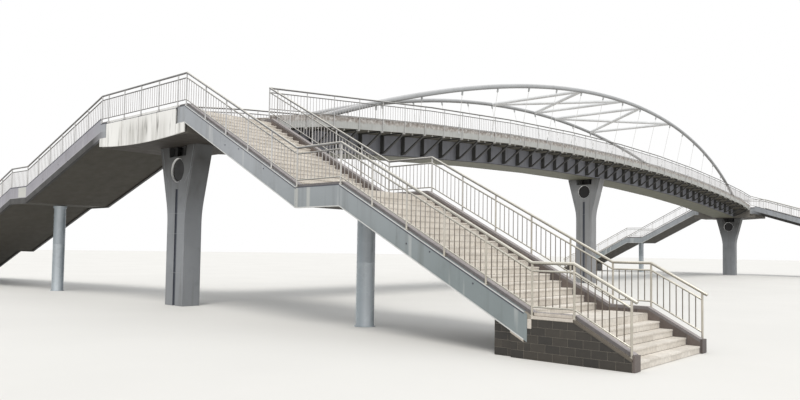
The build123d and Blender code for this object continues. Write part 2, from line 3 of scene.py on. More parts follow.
import bmesh
import bpy
from mathutils import Matrix, Vector


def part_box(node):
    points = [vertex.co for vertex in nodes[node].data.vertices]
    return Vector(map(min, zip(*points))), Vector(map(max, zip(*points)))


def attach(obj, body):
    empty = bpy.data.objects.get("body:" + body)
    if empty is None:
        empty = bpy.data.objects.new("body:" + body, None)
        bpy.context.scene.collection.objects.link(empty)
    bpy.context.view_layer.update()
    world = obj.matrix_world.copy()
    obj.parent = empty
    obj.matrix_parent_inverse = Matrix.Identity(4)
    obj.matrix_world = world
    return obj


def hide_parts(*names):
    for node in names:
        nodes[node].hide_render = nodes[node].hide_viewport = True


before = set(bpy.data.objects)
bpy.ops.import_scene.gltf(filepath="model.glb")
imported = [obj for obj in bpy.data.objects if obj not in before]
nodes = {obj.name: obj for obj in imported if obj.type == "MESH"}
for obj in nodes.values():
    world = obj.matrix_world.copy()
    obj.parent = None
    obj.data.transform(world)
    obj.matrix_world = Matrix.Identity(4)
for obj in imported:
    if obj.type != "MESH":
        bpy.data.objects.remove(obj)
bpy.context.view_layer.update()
scene = bpy.context.scene
both = (-1, 1)

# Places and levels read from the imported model, in metres
landing_low, landing_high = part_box("near_landing")
deck_level = landing_high.z
landing_half = landing_high.x
stringer_low, stringer_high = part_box("near_stringers")
half_span = -(stringer_low.y + stringer_high.y) / 2
stringer_outer = stringer_high.y + half_span
rail_y = stringer_outer - 0.02
stringer_inner = stringer_outer - 0.04
deck_half_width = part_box("edge_troughs")[1].x
deck_half_length = half_span - stringer_outer

# Stairs
risers = 18
steep_going = 0.144
steep_landing = 0.79
lower_landing = 0.43
lower_level = 0.36
ground_risers = 5
ground_going = 0.135
gentle_going = 0.177
gentle_landing = 0.83
kerb_inner = 0.74
kerb_rise = 0.07
stringer_rise = 0.035
stringer_depth = 0.26
stringer_foot = stringer_rise - stringer_depth
stringer_level_start = landing_half - 0.2
gentle_rim = -0.108
gentle_upstand = 0.106
step_seat = -0.19
cheek_front = 7.25
pedestal_length = 0.14
steep_riser = (deck_level - lower_level) / (2 * risers)
gentle_riser = deck_level / (3 * risers)
ground_riser = lower_level / ground_risers
stair_slope = steep_riser / steep_going

# Stone of the steps, landings and base
tile_columns = 6
tile_joint = 0.004
step_joint = 0.003
step_half = kerb_inner - 0.0005
tread_thickness = 0.018
nosing = 0.007
riser_tile = 0.006
paving_lift = 0.004
base_cap = 0.026
base_tile_length = 0.15
base_tile_height = 0.0745
base_joint = 0.003
base_tile_proud = 0.002
base_tile_sink = 0.004
pedestal_cap = 0.022
pedestal_cap_drop = 0.02

# Railings
rail_height = 0.525
second_rail = rail_height - 0.075
stair_bottom_rail = 0.122
deck_bottom_rail = 0.172
handrail_radius = 0.0155
second_rail_radius = 0.0095
bottom_rail_radius = 0.008
baluster_radius = 0.005
baluster_pitch = 0.067
stair_post_radius = 0.011
deck_post_radius = 0.0095
post_half = 0.0125
post_height = rail_height - handrail_radius * 0.5
foot_half_x = 0.018
foot_half_y = 0.0175
foot_sink = 0.012
foot_rise = 0.01
deck_rail_x = deck_half_width + post_half
handrail_overshoot = 0.05
steep_bays = 5
gentle_bays = 6
end_rail_bays = 4
end_post_reach = landing_half - 0.24

# Deck
ramp_length = 1.2
ramp_rise = 0.2
camber_rise = 0.587
lengths_per_half = 4
ramp_start = deck_half_length - ramp_length
length_pitch = ramp_start / lengths_per_half
camber_radius = (ramp_start**2 + camber_rise**2) / (2 * camber_rise)
crown_level = deck_level + ramp_rise + camber_rise
slab_thickness = 0.05
trough_inner = 0.745
trough_wall = 0.015
trough_height = 0.16
rim_radius = 0.0085
rim_sink = 0.004
fascia_drop = 0.06
bracket_pitch = 0.655
brackets_per_half = 21
bracket_foot_gap = 0.035
bracket_tip_depth = 0.035
girder_half = 0.475
girder_end_level = 2.69
girder_camber = 0.635
girder_radius = (deck_half_length**2 + girder_camber**2) / (2 * girder_camber)
strut_x = girder_half + 0.1

# Arches
arch_half_length = 12.54
arch_foot_x = 0.85
arch_foot_rise = 0.08
arch_rise = 2.27
lean = math.radians(17.2)
rib_radius = 0.054
rib_lengths = 14
shoe_length = 0.2
shoe_half = 0.075
shoe_height = 0.15
hanger_pitch = 1.28
hangers_per_half = 9
hanger_radius = 0.005
stub_radius = 0.022
stub_length = 0.09
anchor_level = 0.06
inner_anchor_x = 1.05
brace_radius = 0.045
inner_brace_y = 0.5 * hanger_pitch
outer_brace_y = 2.5 * hanger_pitch

# Piers
pier_half_depth = 0.16
pier_half_width = 0.27
flare_height = 1.115
flare_slope = math.tan(math.radians(14.6))
ring_drop = 0.405
ring_radius = 0.2095
ring_face = pier_half_depth - 0.01
ring_wall = 0.011
groove_half_width = 0.0375
groove_depth = 0.025
groove_drop = 0.725
column_radius = 0.118


def shader_color(color):
    """A colour as shaders take it. Three numbers are sRGB channels of 0 to 255, and all else is ready."""
    if not isinstance(color, tuple) or len(color) == 4:
        return color
    shares = [channel / 255 for channel in color]
    return tuple(v / 12.92 if v <= 0.04045 else ((v + 0.055) / 1.055) ** 2.4 for v in shares) + (1.0,)


def grey(share):
    return (share, share, share, 1.0)


def add_node(tree, kind, inputs=(), **settings):
    """A new node with its settings, and with numbers, colours or other nodes' sockets at its inputs."""
    node = tree.nodes.new(kind)
    for key, value in settings.items():
        setattr(node, key, value)
    for key, value in dict(inputs).items():
        if isinstance(value, (int, float, tuple)):
            node.inputs[key].default_value = value
        else:
            tree.links.new(value, node.inputs[key])
    return node


class Graph:
    """The shader nodes of one material, added and joined step by step."""

    def __init__(self, name, roughness, metallic=0.0):
        self.material = bpy.data.materials.new(name)
        self.material.use_nodes = True
        self.tree = self.material.node_tree
        self.shader = self.tree.nodes["Principled BSDF"]
        self.shader.inputs["Roughness"].default_value = roughness
        self.shader.inputs["Metallic"].default_value = metallic
        self.coords = self.add("TexCoord")["Object"]

    def add(self, kind, inputs=(), **settings):
        return add_node(self.tree, "ShaderNode" + kind, inputs, **settings).outputs

    def noise(self, scale, detail=4.0, squeeze=1):
        """A noise, drawn out down the faces where it is squeezed."""
        mapped = self.add("Mapping", {"Vector": self.coords, "Scale": (1, 1, squeeze)})["Vector"]
        return self.add("TexNoise", {"Vector": mapped, "Scale": scale, "Detail": detail})["Fac"]

    def ramp(self, factor, *stops):
        node = add_node(self.tree, "ShaderNodeValToRGB", {"Fac": factor})
        elements = node.color_ramp.elements
        while len(elements) < len(stops):
            elements.new(0.5)
        for element, (place, color) in zip(elements, stops):
            element.position = place
            element.color = shader_color(color)
        return node.outputs["Color"]

    def mask(self, factor, low, high):
        """A factor that goes from 0 at low to 1 at high."""
        return self.add("MapRange", {"Value": factor, "From Min": low, "From Max": high})["Result"]

    def patches(self, scale, detail, low, high, squeeze=1):
        """A mask of the places where a noise is high."""
        return self.mask(self.noise(scale, detail, squeeze), low, high)

    def math(self, operation, first, second=0.0):
        return self.add("Math", {0: first, 1: second}, operation=operation)["Value"]

    def times(self, first, second):
        return self.math("MULTIPLY", first, second)

    def plus(self, first, second):
        return self.math("ADD", first, second)

    def minus(self, first, second):
        return self.math("SUBTRACT", first, second)

    def mix(self, factor, first, second, blend="MIX"):
        inputs = {0: factor, 6: shader_color(first), 7: shader_color(second)}
        return self.add("Mix", inputs, data_type="RGBA", blend_type=blend)[2]

    def tinted(self, color, tint):
        return self.mix(1.0, color, tint, "MULTIPLY")

    def part(self, axis):
        return self.add("SeparateXYZ", {"Vector": self.coords})[axis]

    def facing(self, axis):
        return self.add("SeparateXYZ", {"Vector": self.add("NewGeometry")["Normal"]})[axis]

    def each(self, first, last):
        """A colour that differs from one loose piece of the mesh to the next."""
        return self.ramp(self.add("NewGeometry")["Random Per Island"], (0.0, first), (1.0, last))

    def by_level(self, top, side, under):
        """Colours for the faces that look up, sideways and down, which paint light and shade by the way a
        face looks.
        """
        level = self.facing("Z")
        lower = self.mix(self.mask(level, -0.4, -0.6), side, under)
        return self.mix(self.mask(level, 0.4, 0.6), lower, top)

    def mottled(self, color, scale, darkest):
        return self.tinted(color, self.ramp(self.noise(scale, 5), (0.3, grey(darkest)), (0.7, grey(1.0))))

    def stained(self, color, stain, factor, share=None):
        """A colour with a stain where the factor is high, as strong as the share."""
        if share is not None:
            factor = self.times(factor, share)
        return self.mix(factor, color, self.tinted(color, stain))

    def bump(self, height, strength, distance):
        normal = self.add("Bump", {"Height": height, "Strength": strength, "Distance": distance})["Normal"]
        self.tree.links.new(normal, self.shader.inputs["Normal"])

    def uneven_gloss(self, roughness, scale=6.0):
        spread = self.times(self.noise(scale, 4), 0.3)
        self.tree.links.new(self.plus(spread, roughness - 0.15), self.shader.inputs["Roughness"])

    def finish(self, color):
        self.tree.links.new(color, self.shader.inputs["Base Color"])
        return self.material


dull_stain = (0.5, 0.47, 0.42, 1.0)


def weathered(graph, color, streaks, roughness, darkest=0.86, stain=dull_stain):
    """Paint with soft mottling, run-off streaks down its faces, specks and fine grain."""
    color = graph.mottled(color, 1.7, darkest)
    color = graph.stained(color, stain, graph.patches(9.0, 3, 0.52, 0.78, 0.07), streaks)
    color = graph.stained(color, grey(0.72), graph.patches(4.5, 6, 0.6, 0.72), streaks)
    color = graph.stained(color, grey(0.55), graph.patches(60.0, 2, 0.68, 0.74), 0.35)
    graph.bump(graph.noise(140.0, 3), 0.12, 0.002)
    graph.uneven_gloss(roughness)
    return color


def paint(name, side, top=None, under=None, stain=dull_stain, streaks=0.3, roughness=0.5):
    """Weathered paint, with other colours on top and underneath that paint light on the tops and shade on the
    undersides.
    """
    graph = Graph(name, roughness)
    color = graph.by_level(top or side, side, under or side)
    return graph.finish(weathered(graph, color, streaks, roughness, stain=stain))


def pier_paint(name, side, shade_from, shade_to):
    """Matt pier paint that grows dark towards the head with painted shade, mottled by a noise."""
    graph = Graph(name, 0.5)
    color = weathered(graph, side, 0.4, 0.5)
    # painted shade towards the head, between two heights
    height = graph.mask(graph.part("Z"), shade_from, shade_to)
    return graph.finish(graph.stained(color, (126, 122, 114), height, graph.plus(graph.noise(2.2, 4), 0.35)))


def column_paint(name, side):
    """Satin column paint, with painted shade on the side towards the deck and a lighter painted shade on the
    outer side.
    """
    graph = Graph(name, 0.28)
    color = weathered(graph, side, 0.2, 0.28)
    # painted shade on the side that looks towards the deck, mottled by a noise
    deck_side_shade = graph.mask(graph.facing("Y"), -0.35, 0.45)
    color = graph.stained(color, (122, 132, 138), deck_side_shade, graph.plus(graph.noise(3.0, 4), 0.35))
    # a lighter painted shade on the outer side
    outer_side_shade = graph.mask(graph.facing("Y"), -0.7, -0.98)
    return graph.finish(graph.stained(color, (196, 200, 202), outer_side_shade))


def stringer_paint(name):
    """Blue-grey paint, greener low down, with pale runs; the gentle stairs' outer faces are painted near
    black below, as painted shade like the shaded soffit under them.
    """
    graph = Graph(name, 0.45)
    height = graph.part("Z")
    color = graph.mix(graph.mask(height, 0.7, 2.2), (130, 139, 141), (157, 161, 166))
    end = graph.math("SIGN", graph.part("Y"))
    outer = graph.mask(graph.times(end, graph.facing("Y")), 0.4, 0.6)
    reach = graph.times(end, graph.part("X"))
    gentle = graph.mask(reach, stringer_level_start, landing_half + 0.3)
    gentle_outer = graph.times(outer, gentle)
    color = weathered(graph, graph.mix(gentle_outer, color, (153, 151, 159)), 0.45, 0.45, 0.88)
    for x_from, x_to, strength in pale_patches:
        off = graph.math("ABSOLUTE", graph.plus(reach, (x_from + x_to) / 2))
        half = (x_to - x_from) / 2
        patch = graph.times(outer, graph.mask(off, half + 0.01, half - 0.01))
        color = graph.mix(graph.times(patch, strength), color, (196, 196, 190))
    pale_runs = graph.times(graph.patches(8.0, 3, 0.63, 0.7, 0.06), 0.3)
    color = graph.mix(pale_runs, color, (206, 207, 205))
    line = deck_level
    for (x_a, z_a), (x_b, z_b) in zip(gentle_line[0::2], gentle_line[1::2]):
        line = graph.minus(line, graph.times(graph.mask(reach, -x_a, -x_b), z_a - z_b))
    above = graph.minus(height, line)
    rim = graph.times(gentle_outer, graph.mask(above, gentle_rim + 0.016, gentle_rim + 0.012))
    # painted shade: the gentle stringers are near black below the rim
    lower = graph.times(gentle, graph.mask(above, gentle_rim + 0.002, gentle_rim - 0.002))
    color = graph.mix(rim, color, (166, 165, 169))
    return graph.finish(graph.mix(lower, color, (27, 25, 22)))


def fascia_paint(name):
    """White facing with long dark run-off marks that start below its top edge."""
    graph = Graph(name, 0.6)
    color = graph.mottled((240, 239, 236), 2.0, 0.93)
    low = graph.mask(graph.part("Z"), deck_level, deck_level - 0.2)
    below = graph.plus(graph.times(low, 0.88), 0.12)
    color = graph.stained(color, (0.66, 0.655, 0.64, 1.0), graph.patches(4.2, 3, 0.5, 0.68, 0.12), below)
    color = graph.stained(color, (0.3, 0.3, 0.29, 1.0), graph.patches(19.0, 5, 0.585, 0.66, 0.06), below)
    graph.bump(graph.noise(120.0, 3), 0.12, 0.002)
    return graph.finish(graph.tinted(color, graph.each(grey(0.93), grey(1.0))))


def trough_paint(name):
    """Pale grey trough walls whose upper half is rusty, by height above the cambered deck."""
    graph = Graph(name, 0.65)
    y = graph.part("Y")
    camber = graph.minus(crown_level, graph.math("DIVIDE", graph.times(y, y), 2 * camber_radius))
    reach = graph.minus(deck_half_length, graph.math("ABSOLUTE", y))
    ramp_line = graph.plus(graph.times(reach, ramp_rise / ramp_length), deck_level)
    above = graph.minus(graph.part("Z"), graph.math("MINIMUM", camber, ramp_line))
    ragged = graph.times(graph.noise(9.0, 5, 0.3), 0.09)
    upper = graph.mask(graph.plus(above, ragged), 0.085, 0.125)
    rust = graph.ramp(graph.noise(14.0, 6), (0.34, (124, 112, 104)), (0.5, (164, 156, 150)),
                      (0.64, (204, 201, 197)))
    color = graph.mix(graph.times(upper, 0.85), graph.mottled((186, 187, 184), 5.0, 0.86), rust)
    color = graph.stained(color, (0.62, 0.56, 0.5, 1.0), graph.patches(34.0, 3, 0.56, 0.74, 0.06), 0.6)
    graph.bump(graph.noise(90.0, 4), 0.2, 0.002)
    return graph.finish(color)


def stone(name, dark, pale=None, grain=40.0, roughness=0.8, top=1.0, side=1.0):
    """Cut stone whose blocks differ a little, with mottled grain and damp patches; its top and side shares
    paint shade on its tops and sides.
    """
    graph = Graph(name, roughness)
    color = graph.tinted(graph.each(dark, pale or dark), graph.by_level(grey(top), grey(side), grey(side)))
    fine = graph.noise(grain, 5)
    color = graph.stained(graph.mottled(color, 2.3, 0.9), grey(0.86), graph.mask(fine, 0.62, 0.38))
    color = graph.stained(color, (0.68, 0.65, 0.62, 1.0), graph.patches(0.9, 5, 0.55, 0.75), 0.3)
    graph.bump(fine, 0.35, 0.003)
    graph.uneven_gloss(roughness)
    return graph.finish(color)


def steel(name, side, top, under, aloft_light_and_shade=None, roughness=0.36, metallic=0.8):
    """Brushed stainless tube with a painted highlight on top and painted shade beneath, and a side colour
    high up that paints the light and shade it shows there.
    """
    graph = Graph(name, roughness, metallic)
    if aloft_light_and_shade is not None:
        side = graph.mix(graph.mask(graph.part("Z"), 1.0, 2.4), side, aloft_light_and_shade)
    brushed = graph.noise(90.0, 2, 0.15)
    # painted highlight on the tops and painted shade on the undersides
    toned = graph.mottled(graph.by_level(top, side, under), 3.5, 0.8)
    graph.bump(brushed, 0.06, 0.001)
    graph.uneven_gloss(roughness, 7.0)
    return graph.finish(graph.stained(toned, grey(0.86), graph.mask(brushed, 0.6, 0.3)))


def runs(points):
    return list(zip(points, points[1:]))


def spaced(start, end, count):
    """Places that part the way from one value to another into equal bays, with both ends."""
    return [start + (end - start) * i / count for i in range(count + 1)]


def between(start, end, count):
    """Evenly spaced places strictly between two values."""
    return spaced(start, end, count + 1)[1:-1]


def on_way(start, end, share):
    """The point a share of the way from one point to another."""
    return tuple(a + (b - a) * share for a, b in zip(start, end))


def ring_spokes(side, up, radius, sides, turn=0):
    """Steps from the middle of a ring to its corners, turned on by a part of a side."""
    angles = [2 * math.pi * (k + turn) / sides for k in range(sides)]
    return [(side * math.cos(a) + up * math.sin(a)) * radius for a in angles]


class Shape:
    """Corners and faces gathered for one joined mesh."""

    def __init__(self):
        self.corners = []
        self.faces = []

    def add(self, corners, faces):
        start = len(self.corners)
        self.corners += [Vector(corner) for corner in corners]
        self.faces += [[start + i for i in face] for face in faces]

    def block(self, corner, opposite):
        """A box between two opposite corners."""
        (x0, x1), (y0, y1), (z0, z1) = (sorted(pair) for pair in zip(corner, opposite))
        self.prism([(x0, y0, z0), (x1, y0, z0), (x1, y1, z0), (x0, y1, z0)], (0, 0, z1 - z0))

    def pad(self, x, y, half_x, half_y, low, high):
        """A box about an upright line."""
        self.block((x - half_x, y - half_y, low), (x + half_x, y + half_y, high))

    def prism(self, outline, offset):
        """An outline of points in one plane, pushed along an offset."""
        count = len(outline)
        base = [Vector(point) for point in outline]
        moved = [point + Vector(offset) for point in base]
        sides = [[i, (i + 1) % count, count + (i + 1) % count, count + i] for i in range(count)]
        self.add(base + moved, sides + [list(range(count))[::-1], list(range(count, 2 * count))])

    def panel(self, points, y_from, y_to):
        """A plate whose outline is drawn in X and Z."""
        self.prism([(x, y_from, z) for x, z in points], (0, y_to - y_from, 0))

    def band(self, start, end, low, high, y_from, y_to):
        """A bar along one straight run of a stair, between two heights above it."""
        (x_a, z_a), (x_b, z_b) = start, end
        outline = [(x_a, z_a + low), (x_b, z_b + low), (x_b, z_b + high), (x_a, z_a + high)]
        self.panel(outline, y_from, y_to)

    def length(self, y_a, y_b, level, low, high, x_from, x_to):
        """A bar along the span, between two heights above a level that changes with y."""
        z_a, z_b = level(y_a), level(y_b)
        outline = [(y_a, z_a + low), (y_b, z_b + low), (y_b, z_b + high), (y_a, z_a + high)]
        self.prism([(x_from, y, z) for y, z in outline], (x_to - x_from, 0, 0))

    def tube(self, path, radius, sides=12):
        """A round bar along a path, mitred at its corners, with flat ends."""
        points = [Vector(point) for point in path]
        steps = [(end - start).normalized() for start, end in runs(points)]
        rings = []
        for point, ahead, after in zip(points, steps[:1] + steps, steps + steps[-1:]):
            mitre = (ahead + after).normalized()
            side = ahead.cross(Vector((0, 0, 1)))
            upright = side.length < 0.001
            side = Vector((1, 0, 0)) if upright else side.normalized()
            up = side.cross(ahead).normalized()
            spokes = ring_spokes(side, up, radius, sides, 0.5)
            rings.append([point + s - ahead * (s.dot(mitre) / ahead.dot(mitre)) for s in spokes])
        self.skin(rings, capped=True)

    def rod(self, x, y, low, high, radius, sides=8):
        """An upright round bar."""
        self.tube([(x, y, low), (x, y, high)], radius, sides)

    def skin(self, rings, capped=False, closed=False):
        """Faces between one ring of corners and the next."""
        sides = len(rings[0])
        corners = [corner for ring in rings for corner in ring]
        faces = []
        for i in range(len(rings) if closed else len(rings) - 1):
            low, high = i * sides, (i + 1) % len(rings) * sides
            for k in range(sides):
                k_next = (k + 1) % sides
                faces.append([low + k, low + k_next, high + k_next, high + k])
        if capped:
            faces += [list(range(sides))[::-1], [len(corners) - sides + k for k in range(sides)]]
        self.add(corners, faces)

    def turned(self, profile, centre, axis, sides=48, closed=False):
        """A turned form: a profile of radius and place along an axis, spun about it."""
        along = Vector(axis).normalized()
        side = along.orthogonal().normalized()
        up = along.cross(side)
        rings = [[Vector(centre) + along * reach + spoke for spoke in ring_spokes(side, up, radius, sides)]
                 for radius, reach in profile]
        self.skin(rings, capped=not closed, closed=closed)

    def tiles(self, corner, along, across, lift, rows, columns, joint=tile_joint):
        """Slabs in a grid on a flat patch, with open joints between them."""
        corner, along, across, lift = (Vector(v) for v in (corner, along, across, lift))
        gap_a = along.normalized() * joint / 2
        gap_c = across.normalized() * joint / 2
        side_a, side_c = along / rows - 2 * gap_a, across / columns - 2 * gap_c
        for row in range(rows):
            for column in range(columns):
                low = corner + along * (row / rows) + across * (column / columns) + gap_a + gap_c
                self.prism([low, low + side_a, low + side_a + side_c, low + side_c], lift)


def shapes(count):
    return [Shape() for _ in range(count)]


def in_scene(name, data):
    """A new object in the scene."""
    piece = bpy.data.objects.new(name, data)
    scene.collection.objects.link(piece)
    return piece


def build(name, shape, material, slot, smooth=0, bevel=0.0, replaced=None, place=None):
    """Make one object of a shape, in its place, riding on the one body of the bridge."""
    mesh = bpy.data.meshes.new(name)
    mesh.from_pydata(shape.corners, [], shape.faces)
    work = bmesh.new()
    work.from_mesh(mesh)
    bmesh.ops.recalc_face_normals(work, faces=work.faces)
    if bevel:
        sharp = [edge for edge in work.edges if edge.calc_face_angle(0) > math.radians(40)]
        bmesh.ops.bevel(work, geom=sharp, offset=bevel, segments=1, affect="EDGES", clamp_overlap=True)
    if place is not None:
        bmesh.ops.transform(work, matrix=place, verts=work.verts)
    work.to_mesh(mesh)
    work.free()
    if smooth:
        mesh.shade_smooth()
        mesh.set_sharp_from_angle(angle=math.radians(smooth))
    mesh.materials.append(material)
    piece = in_scene(name, mesh)
    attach(piece, "root")
    if replaced:
        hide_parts(replaced)


def build_all(prefix, place, pieces):
    """Make pieces whose names, and the nodes they stand for, start with a prefix."""
    for name, *details in pieces:
        replaced = f"{prefix}_{details.pop()}" if len(details) > 5 else None
        build(f"{prefix}_{name}", *details, replaced=replaced, place=place)


# Nosing lines of the stairs in an end's own frame, as pairs of x and level
steep_line = [(landing_half, deck_level)]
for floor_length in (steep_landing, lower_landing):
    x, z = steep_line[-1]
    steep_line.append((x + risers * steep_going, z - risers * steep_riser))
    x, z = steep_line[-1]
    steep_line.append((x + floor_length, z))
x, z = steep_line[-1]
ground_foot = (x + (ground_risers - 1) * ground_going, z - (ground_risers - 1) * ground_riser)
beyond_foot = (ground_foot[0] + ground_going, ground_foot[1] - ground_riser)
gentle_line = [(-landing_half, deck_level)]
for flight in range(3):
    x, z = gentle_line[-1]
    gentle_line.append((x - risers * gentle_going, z - risers * gentle_riser))
    if flight < 2:
        gentle_line.append((gentle_line[-1][0] - gentle_landing, gentle_line[-1][1]))

# Pale places on the stringers' outer faces: from x, to x and strength
pale_patches = ((gentle_line[1][0] - 0.4, gentle_line[1][0], 0.9),
                (steep_line[1][0] - 0.02, steep_line[1][0] + 0.045, 0.5),
                (steep_line[1][0] + 0.21, steep_line[1][0] + 0.27, 0.5))


def to_corner(line):
    """A stair's line with its first run carried on uphill to the deck's corner post."""
    (x_a, z_a), (x_b, z_b) = line[:2]
    corner_x = math.copysign(deck_rail_x, x_a)
    slope = (z_b - z_a) / (x_b - x_a)
    return [(corner_x, z_a + slope * (corner_x - x_a))] + line[1:]


def whole_line(gentle, steep):
    """Both stairs' lines as one, from the gentle stair's foot to past the steep stair's."""
    return gentle[::-1] + steep + [ground_foot, beyond_foot]


floor_line = whole_line(gentle_line, steep_line)


def level_at(points, x):
    """Level of a line of points at a place along the stairs."""
    for (x_a, z_a), (x_b, z_b) in runs(points):
        if x_a <= x <= x_b:
            return z_a + (z_b - z_a) * (x - x_a) / (x_b - x_a)
    return points[0][1]


cheek_level = level_at(steep_line, cheek_front)


def on_lengths(curve, y):
    """Level at y of the straight lengths whose joints lie on a curve."""
    y = abs(y)
    if y >= ramp_start:
        y_a, y_b = ramp_start, deck_half_length
    else:
        y_a = length_pitch * math.floor(y / length_pitch)
        y_b = y_a + length_pitch
    share = (y - y_a) / (y_b - y_a)
    return curve(y_a) * (1 - share) + curve(y_b) * share


def deck_curve(y):
    if y > ramp_start:
        return deck_level + ramp_rise * (deck_half_length - y) / ramp_length
    return crown_level - camber_radius + math.sqrt(camber_radius**2 - y**2)


def girder_curve(y):
    return girder_end_level + girder_camber - girder_radius + math.sqrt(girder_radius**2 - y**2)


def deck_height(y):
    """Level of the walking surface of the span."""
    return on_lengths(deck_curve, y)


def soffit_height(y):
    """Level of the box girder's underside."""
    return on_lengths(girder_curve, y)


def rail_base(y, side):
    """Line of an edge railing, which climbs near its ends to each stair's rail."""
    slope = stair_slope if y * side < 0 else gentle_riser / gentle_going
    share = max(0, (abs(y) - ramp_start) / ramp_length)
    return deck_height(y) + share * (landing_half - deck_rail_x) * slope


inner_breaks = [i * length_pitch for i in range(-lengths_per_half, lengths_per_half + 1)]
span_breaks = [-deck_half_length] + inner_breaks + [deck_half_length]
half_places = [(i + 0.5) * bracket_pitch for i in range(brackets_per_half)]
bracket_places = [-y for y in reversed(half_places)] + half_places
end_places = {
    "near": Matrix.Translation((0, -half_span, 0)),
    "far": Matrix.Translation((0, half_span, 0)) @ Matrix.Rotation(math.pi, 4, "Z"),
}


def stair_post_places(gentle, steep, inner):
    """Places of the posts on one side of the stairs, from the gentle stair's foot on."""
    places = []
    for flight in (4, 2, 0):
        places += spaced(gentle[flight][0], gentle[flight + 1][0], gentle_bays)[::-1]
    places[0] += 2 * post_half
    if not inner:
        places += spaced(-end_post_reach, end_post_reach, end_rail_bays)
    for flight in (0, 2):
        places += spaced(steep[flight][0], steep[flight + 1][0], steep_bays)
    return places + [steep[-1][0], ground_foot[0] - post_half]


def make_stair_rails(rails, balusters, posts, feet):
    """Handrails, bars, balusters and posts of one end's stairs, added to shapes."""
    foot_x = ground_foot[0] - post_half
    bars = ((rail_height, handrail_radius, foot_x + handrail_overshoot),
            (second_rail, second_rail_radius, foot_x),
            (stair_bottom_rail, bottom_rail_radius, foot_x))
    for inner, y in ((False, -rail_y), (True, rail_y)):
        gentle, steep = (to_corner(line) if inner else line for line in (gentle_line, steep_line))
        line = whole_line(gentle, steep)
        foot_end = gentle[-1][0] + post_half
        down = gentle[:-1] + [(foot_end, level_at(floor_line, foot_end))]
        for rise, radius, reach in bars:
            up = steep + [(reach, level_at(floor_line, reach))]
            for points in ([down, up] if inner else [down[::-1] + up]):
                rails.tube([(x, y, z + rise) for x, z in points], radius)
        places = stair_post_places(gentle, steep, inner)
        for x in places:
            seat = level_at(floor_line, x) + stringer_rise
            posts.rod(x, y, seat - foot_sink, level_at(line, x) + post_height, stair_post_radius, 16)
            feet.pad(x, y, foot_half_x, foot_half_y, seat - foot_sink, seat + foot_rise)
        for x_a, x_b in runs(places):
            if inner and x_a < 0 < x_b:
                continue
            for x in between(x_a, x_b, round((x_b - x_a) / baluster_pitch) - 1):
                z = level_at(line, x)
                balusters.rod(x, y, z + stair_bottom_rail, z + second_rail, baluster_radius)


def make_deck_rails(rails, balusters, posts):
    """The same for both edges of the span."""
    bars = ((rail_height, handrail_radius), (second_rail, second_rail_radius),
            (deck_bottom_rail, bottom_rail_radius))
    for side in both:
        x = side * deck_rail_x
        for rise, radius in bars:
            rails.tube([(x, y, rail_base(y, side) + rise) for y in span_breaks], radius)
        for y in bracket_places:
            low = deck_height(y) - fascia_drop - bracket_tip_depth
            posts.rod(x, y, low, rail_base(y, side) + post_height, deck_post_radius, 14)
        for y_a, y_b in runs(bracket_places):
            for y in between(y_a, y_b, round((y_b - y_a) / baluster_pitch) - 2):
                z = rail_base(y, side)
                balusters.rod(x, y, z + deck_bottom_rail, z + second_rail, baluster_radius)


def lay_floor(shape, x_a, x_b, low, thickness, rows, joint=tile_joint):
    """Slabs across a stair between two places."""
    shape.tiles((x_a, -step_half, low), (x_b - x_a, 0, 0), (0, 2 * step_half, 0), (0, 0, thickness),
                rows, tile_columns, joint)


def make_flight(treads, cores, start, going, riser, tread_count, riser_count, seated=True):
    """Stone treads and riser slabs of one flight, on their core blocks."""
    ahead = math.copysign(1, going)
    for step in range(tread_count + 1):
        nose, top = start[0] + step * going, start[1] - step * riser
        face = nose - ahead * nosing if step else nose + ahead * riser_tile
        if step:
            back = nose - going - ahead * nosing
            front = face - ahead * riser_tile
            bed = top - tread_thickness
            lay_floor(treads, back, nose, bed, tread_thickness, 1, step_joint)
            low_back, low_nose = (max(0, z + step_seat) if seated else 0 for z in (top + riser, top))
            core = [(back, low_back), (front, low_nose), (front, bed), (back, bed)]
            cores.panel(core, -step_half, step_half)
        if step < riser_count:
            head = riser - (tread_thickness if step else 0.001)
            treads.tiles((face, -step_half, top - riser), (0, 0, head), (0, 2 * step_half, 0),
                         (-ahead * riser_tile, 0, 0), 1, tile_columns, step_joint)


def make_steps(treads, cores, steep):
    """The flights and intermediate landings of one stair."""
    line = steep_line if steep else gentle_line
    going, riser = (steep_going, steep_riser) if steep else (-gentle_going, gentle_riser)
    for flight in range(2 if steep else 3):
        last = risers - (0 if steep or flight < 2 else 1)
        make_flight(treads, cores, line[2 * flight], going, riser, last, risers)
    for first in ((1,) if steep else (1, 3)):
        (x_a, z), (x_b, _) = line[first:first + 2]
        lay_floor(treads, x_a, x_b, z - tread_thickness, tread_thickness, 3)
        cores.block((x_a, -step_half, z + step_seat), (x_b, step_half, z - tread_thickness))
    if steep:
        make_flight(treads, cores, line[-1], ground_going, ground_riser, ground_risers - 1, ground_risers,
                    seated=False)
        (x_a, z), (x_b, _) = line[3:5]
        lay_floor(treads, x_a + nosing, x_b + nosing, z, paving_lift, 2)


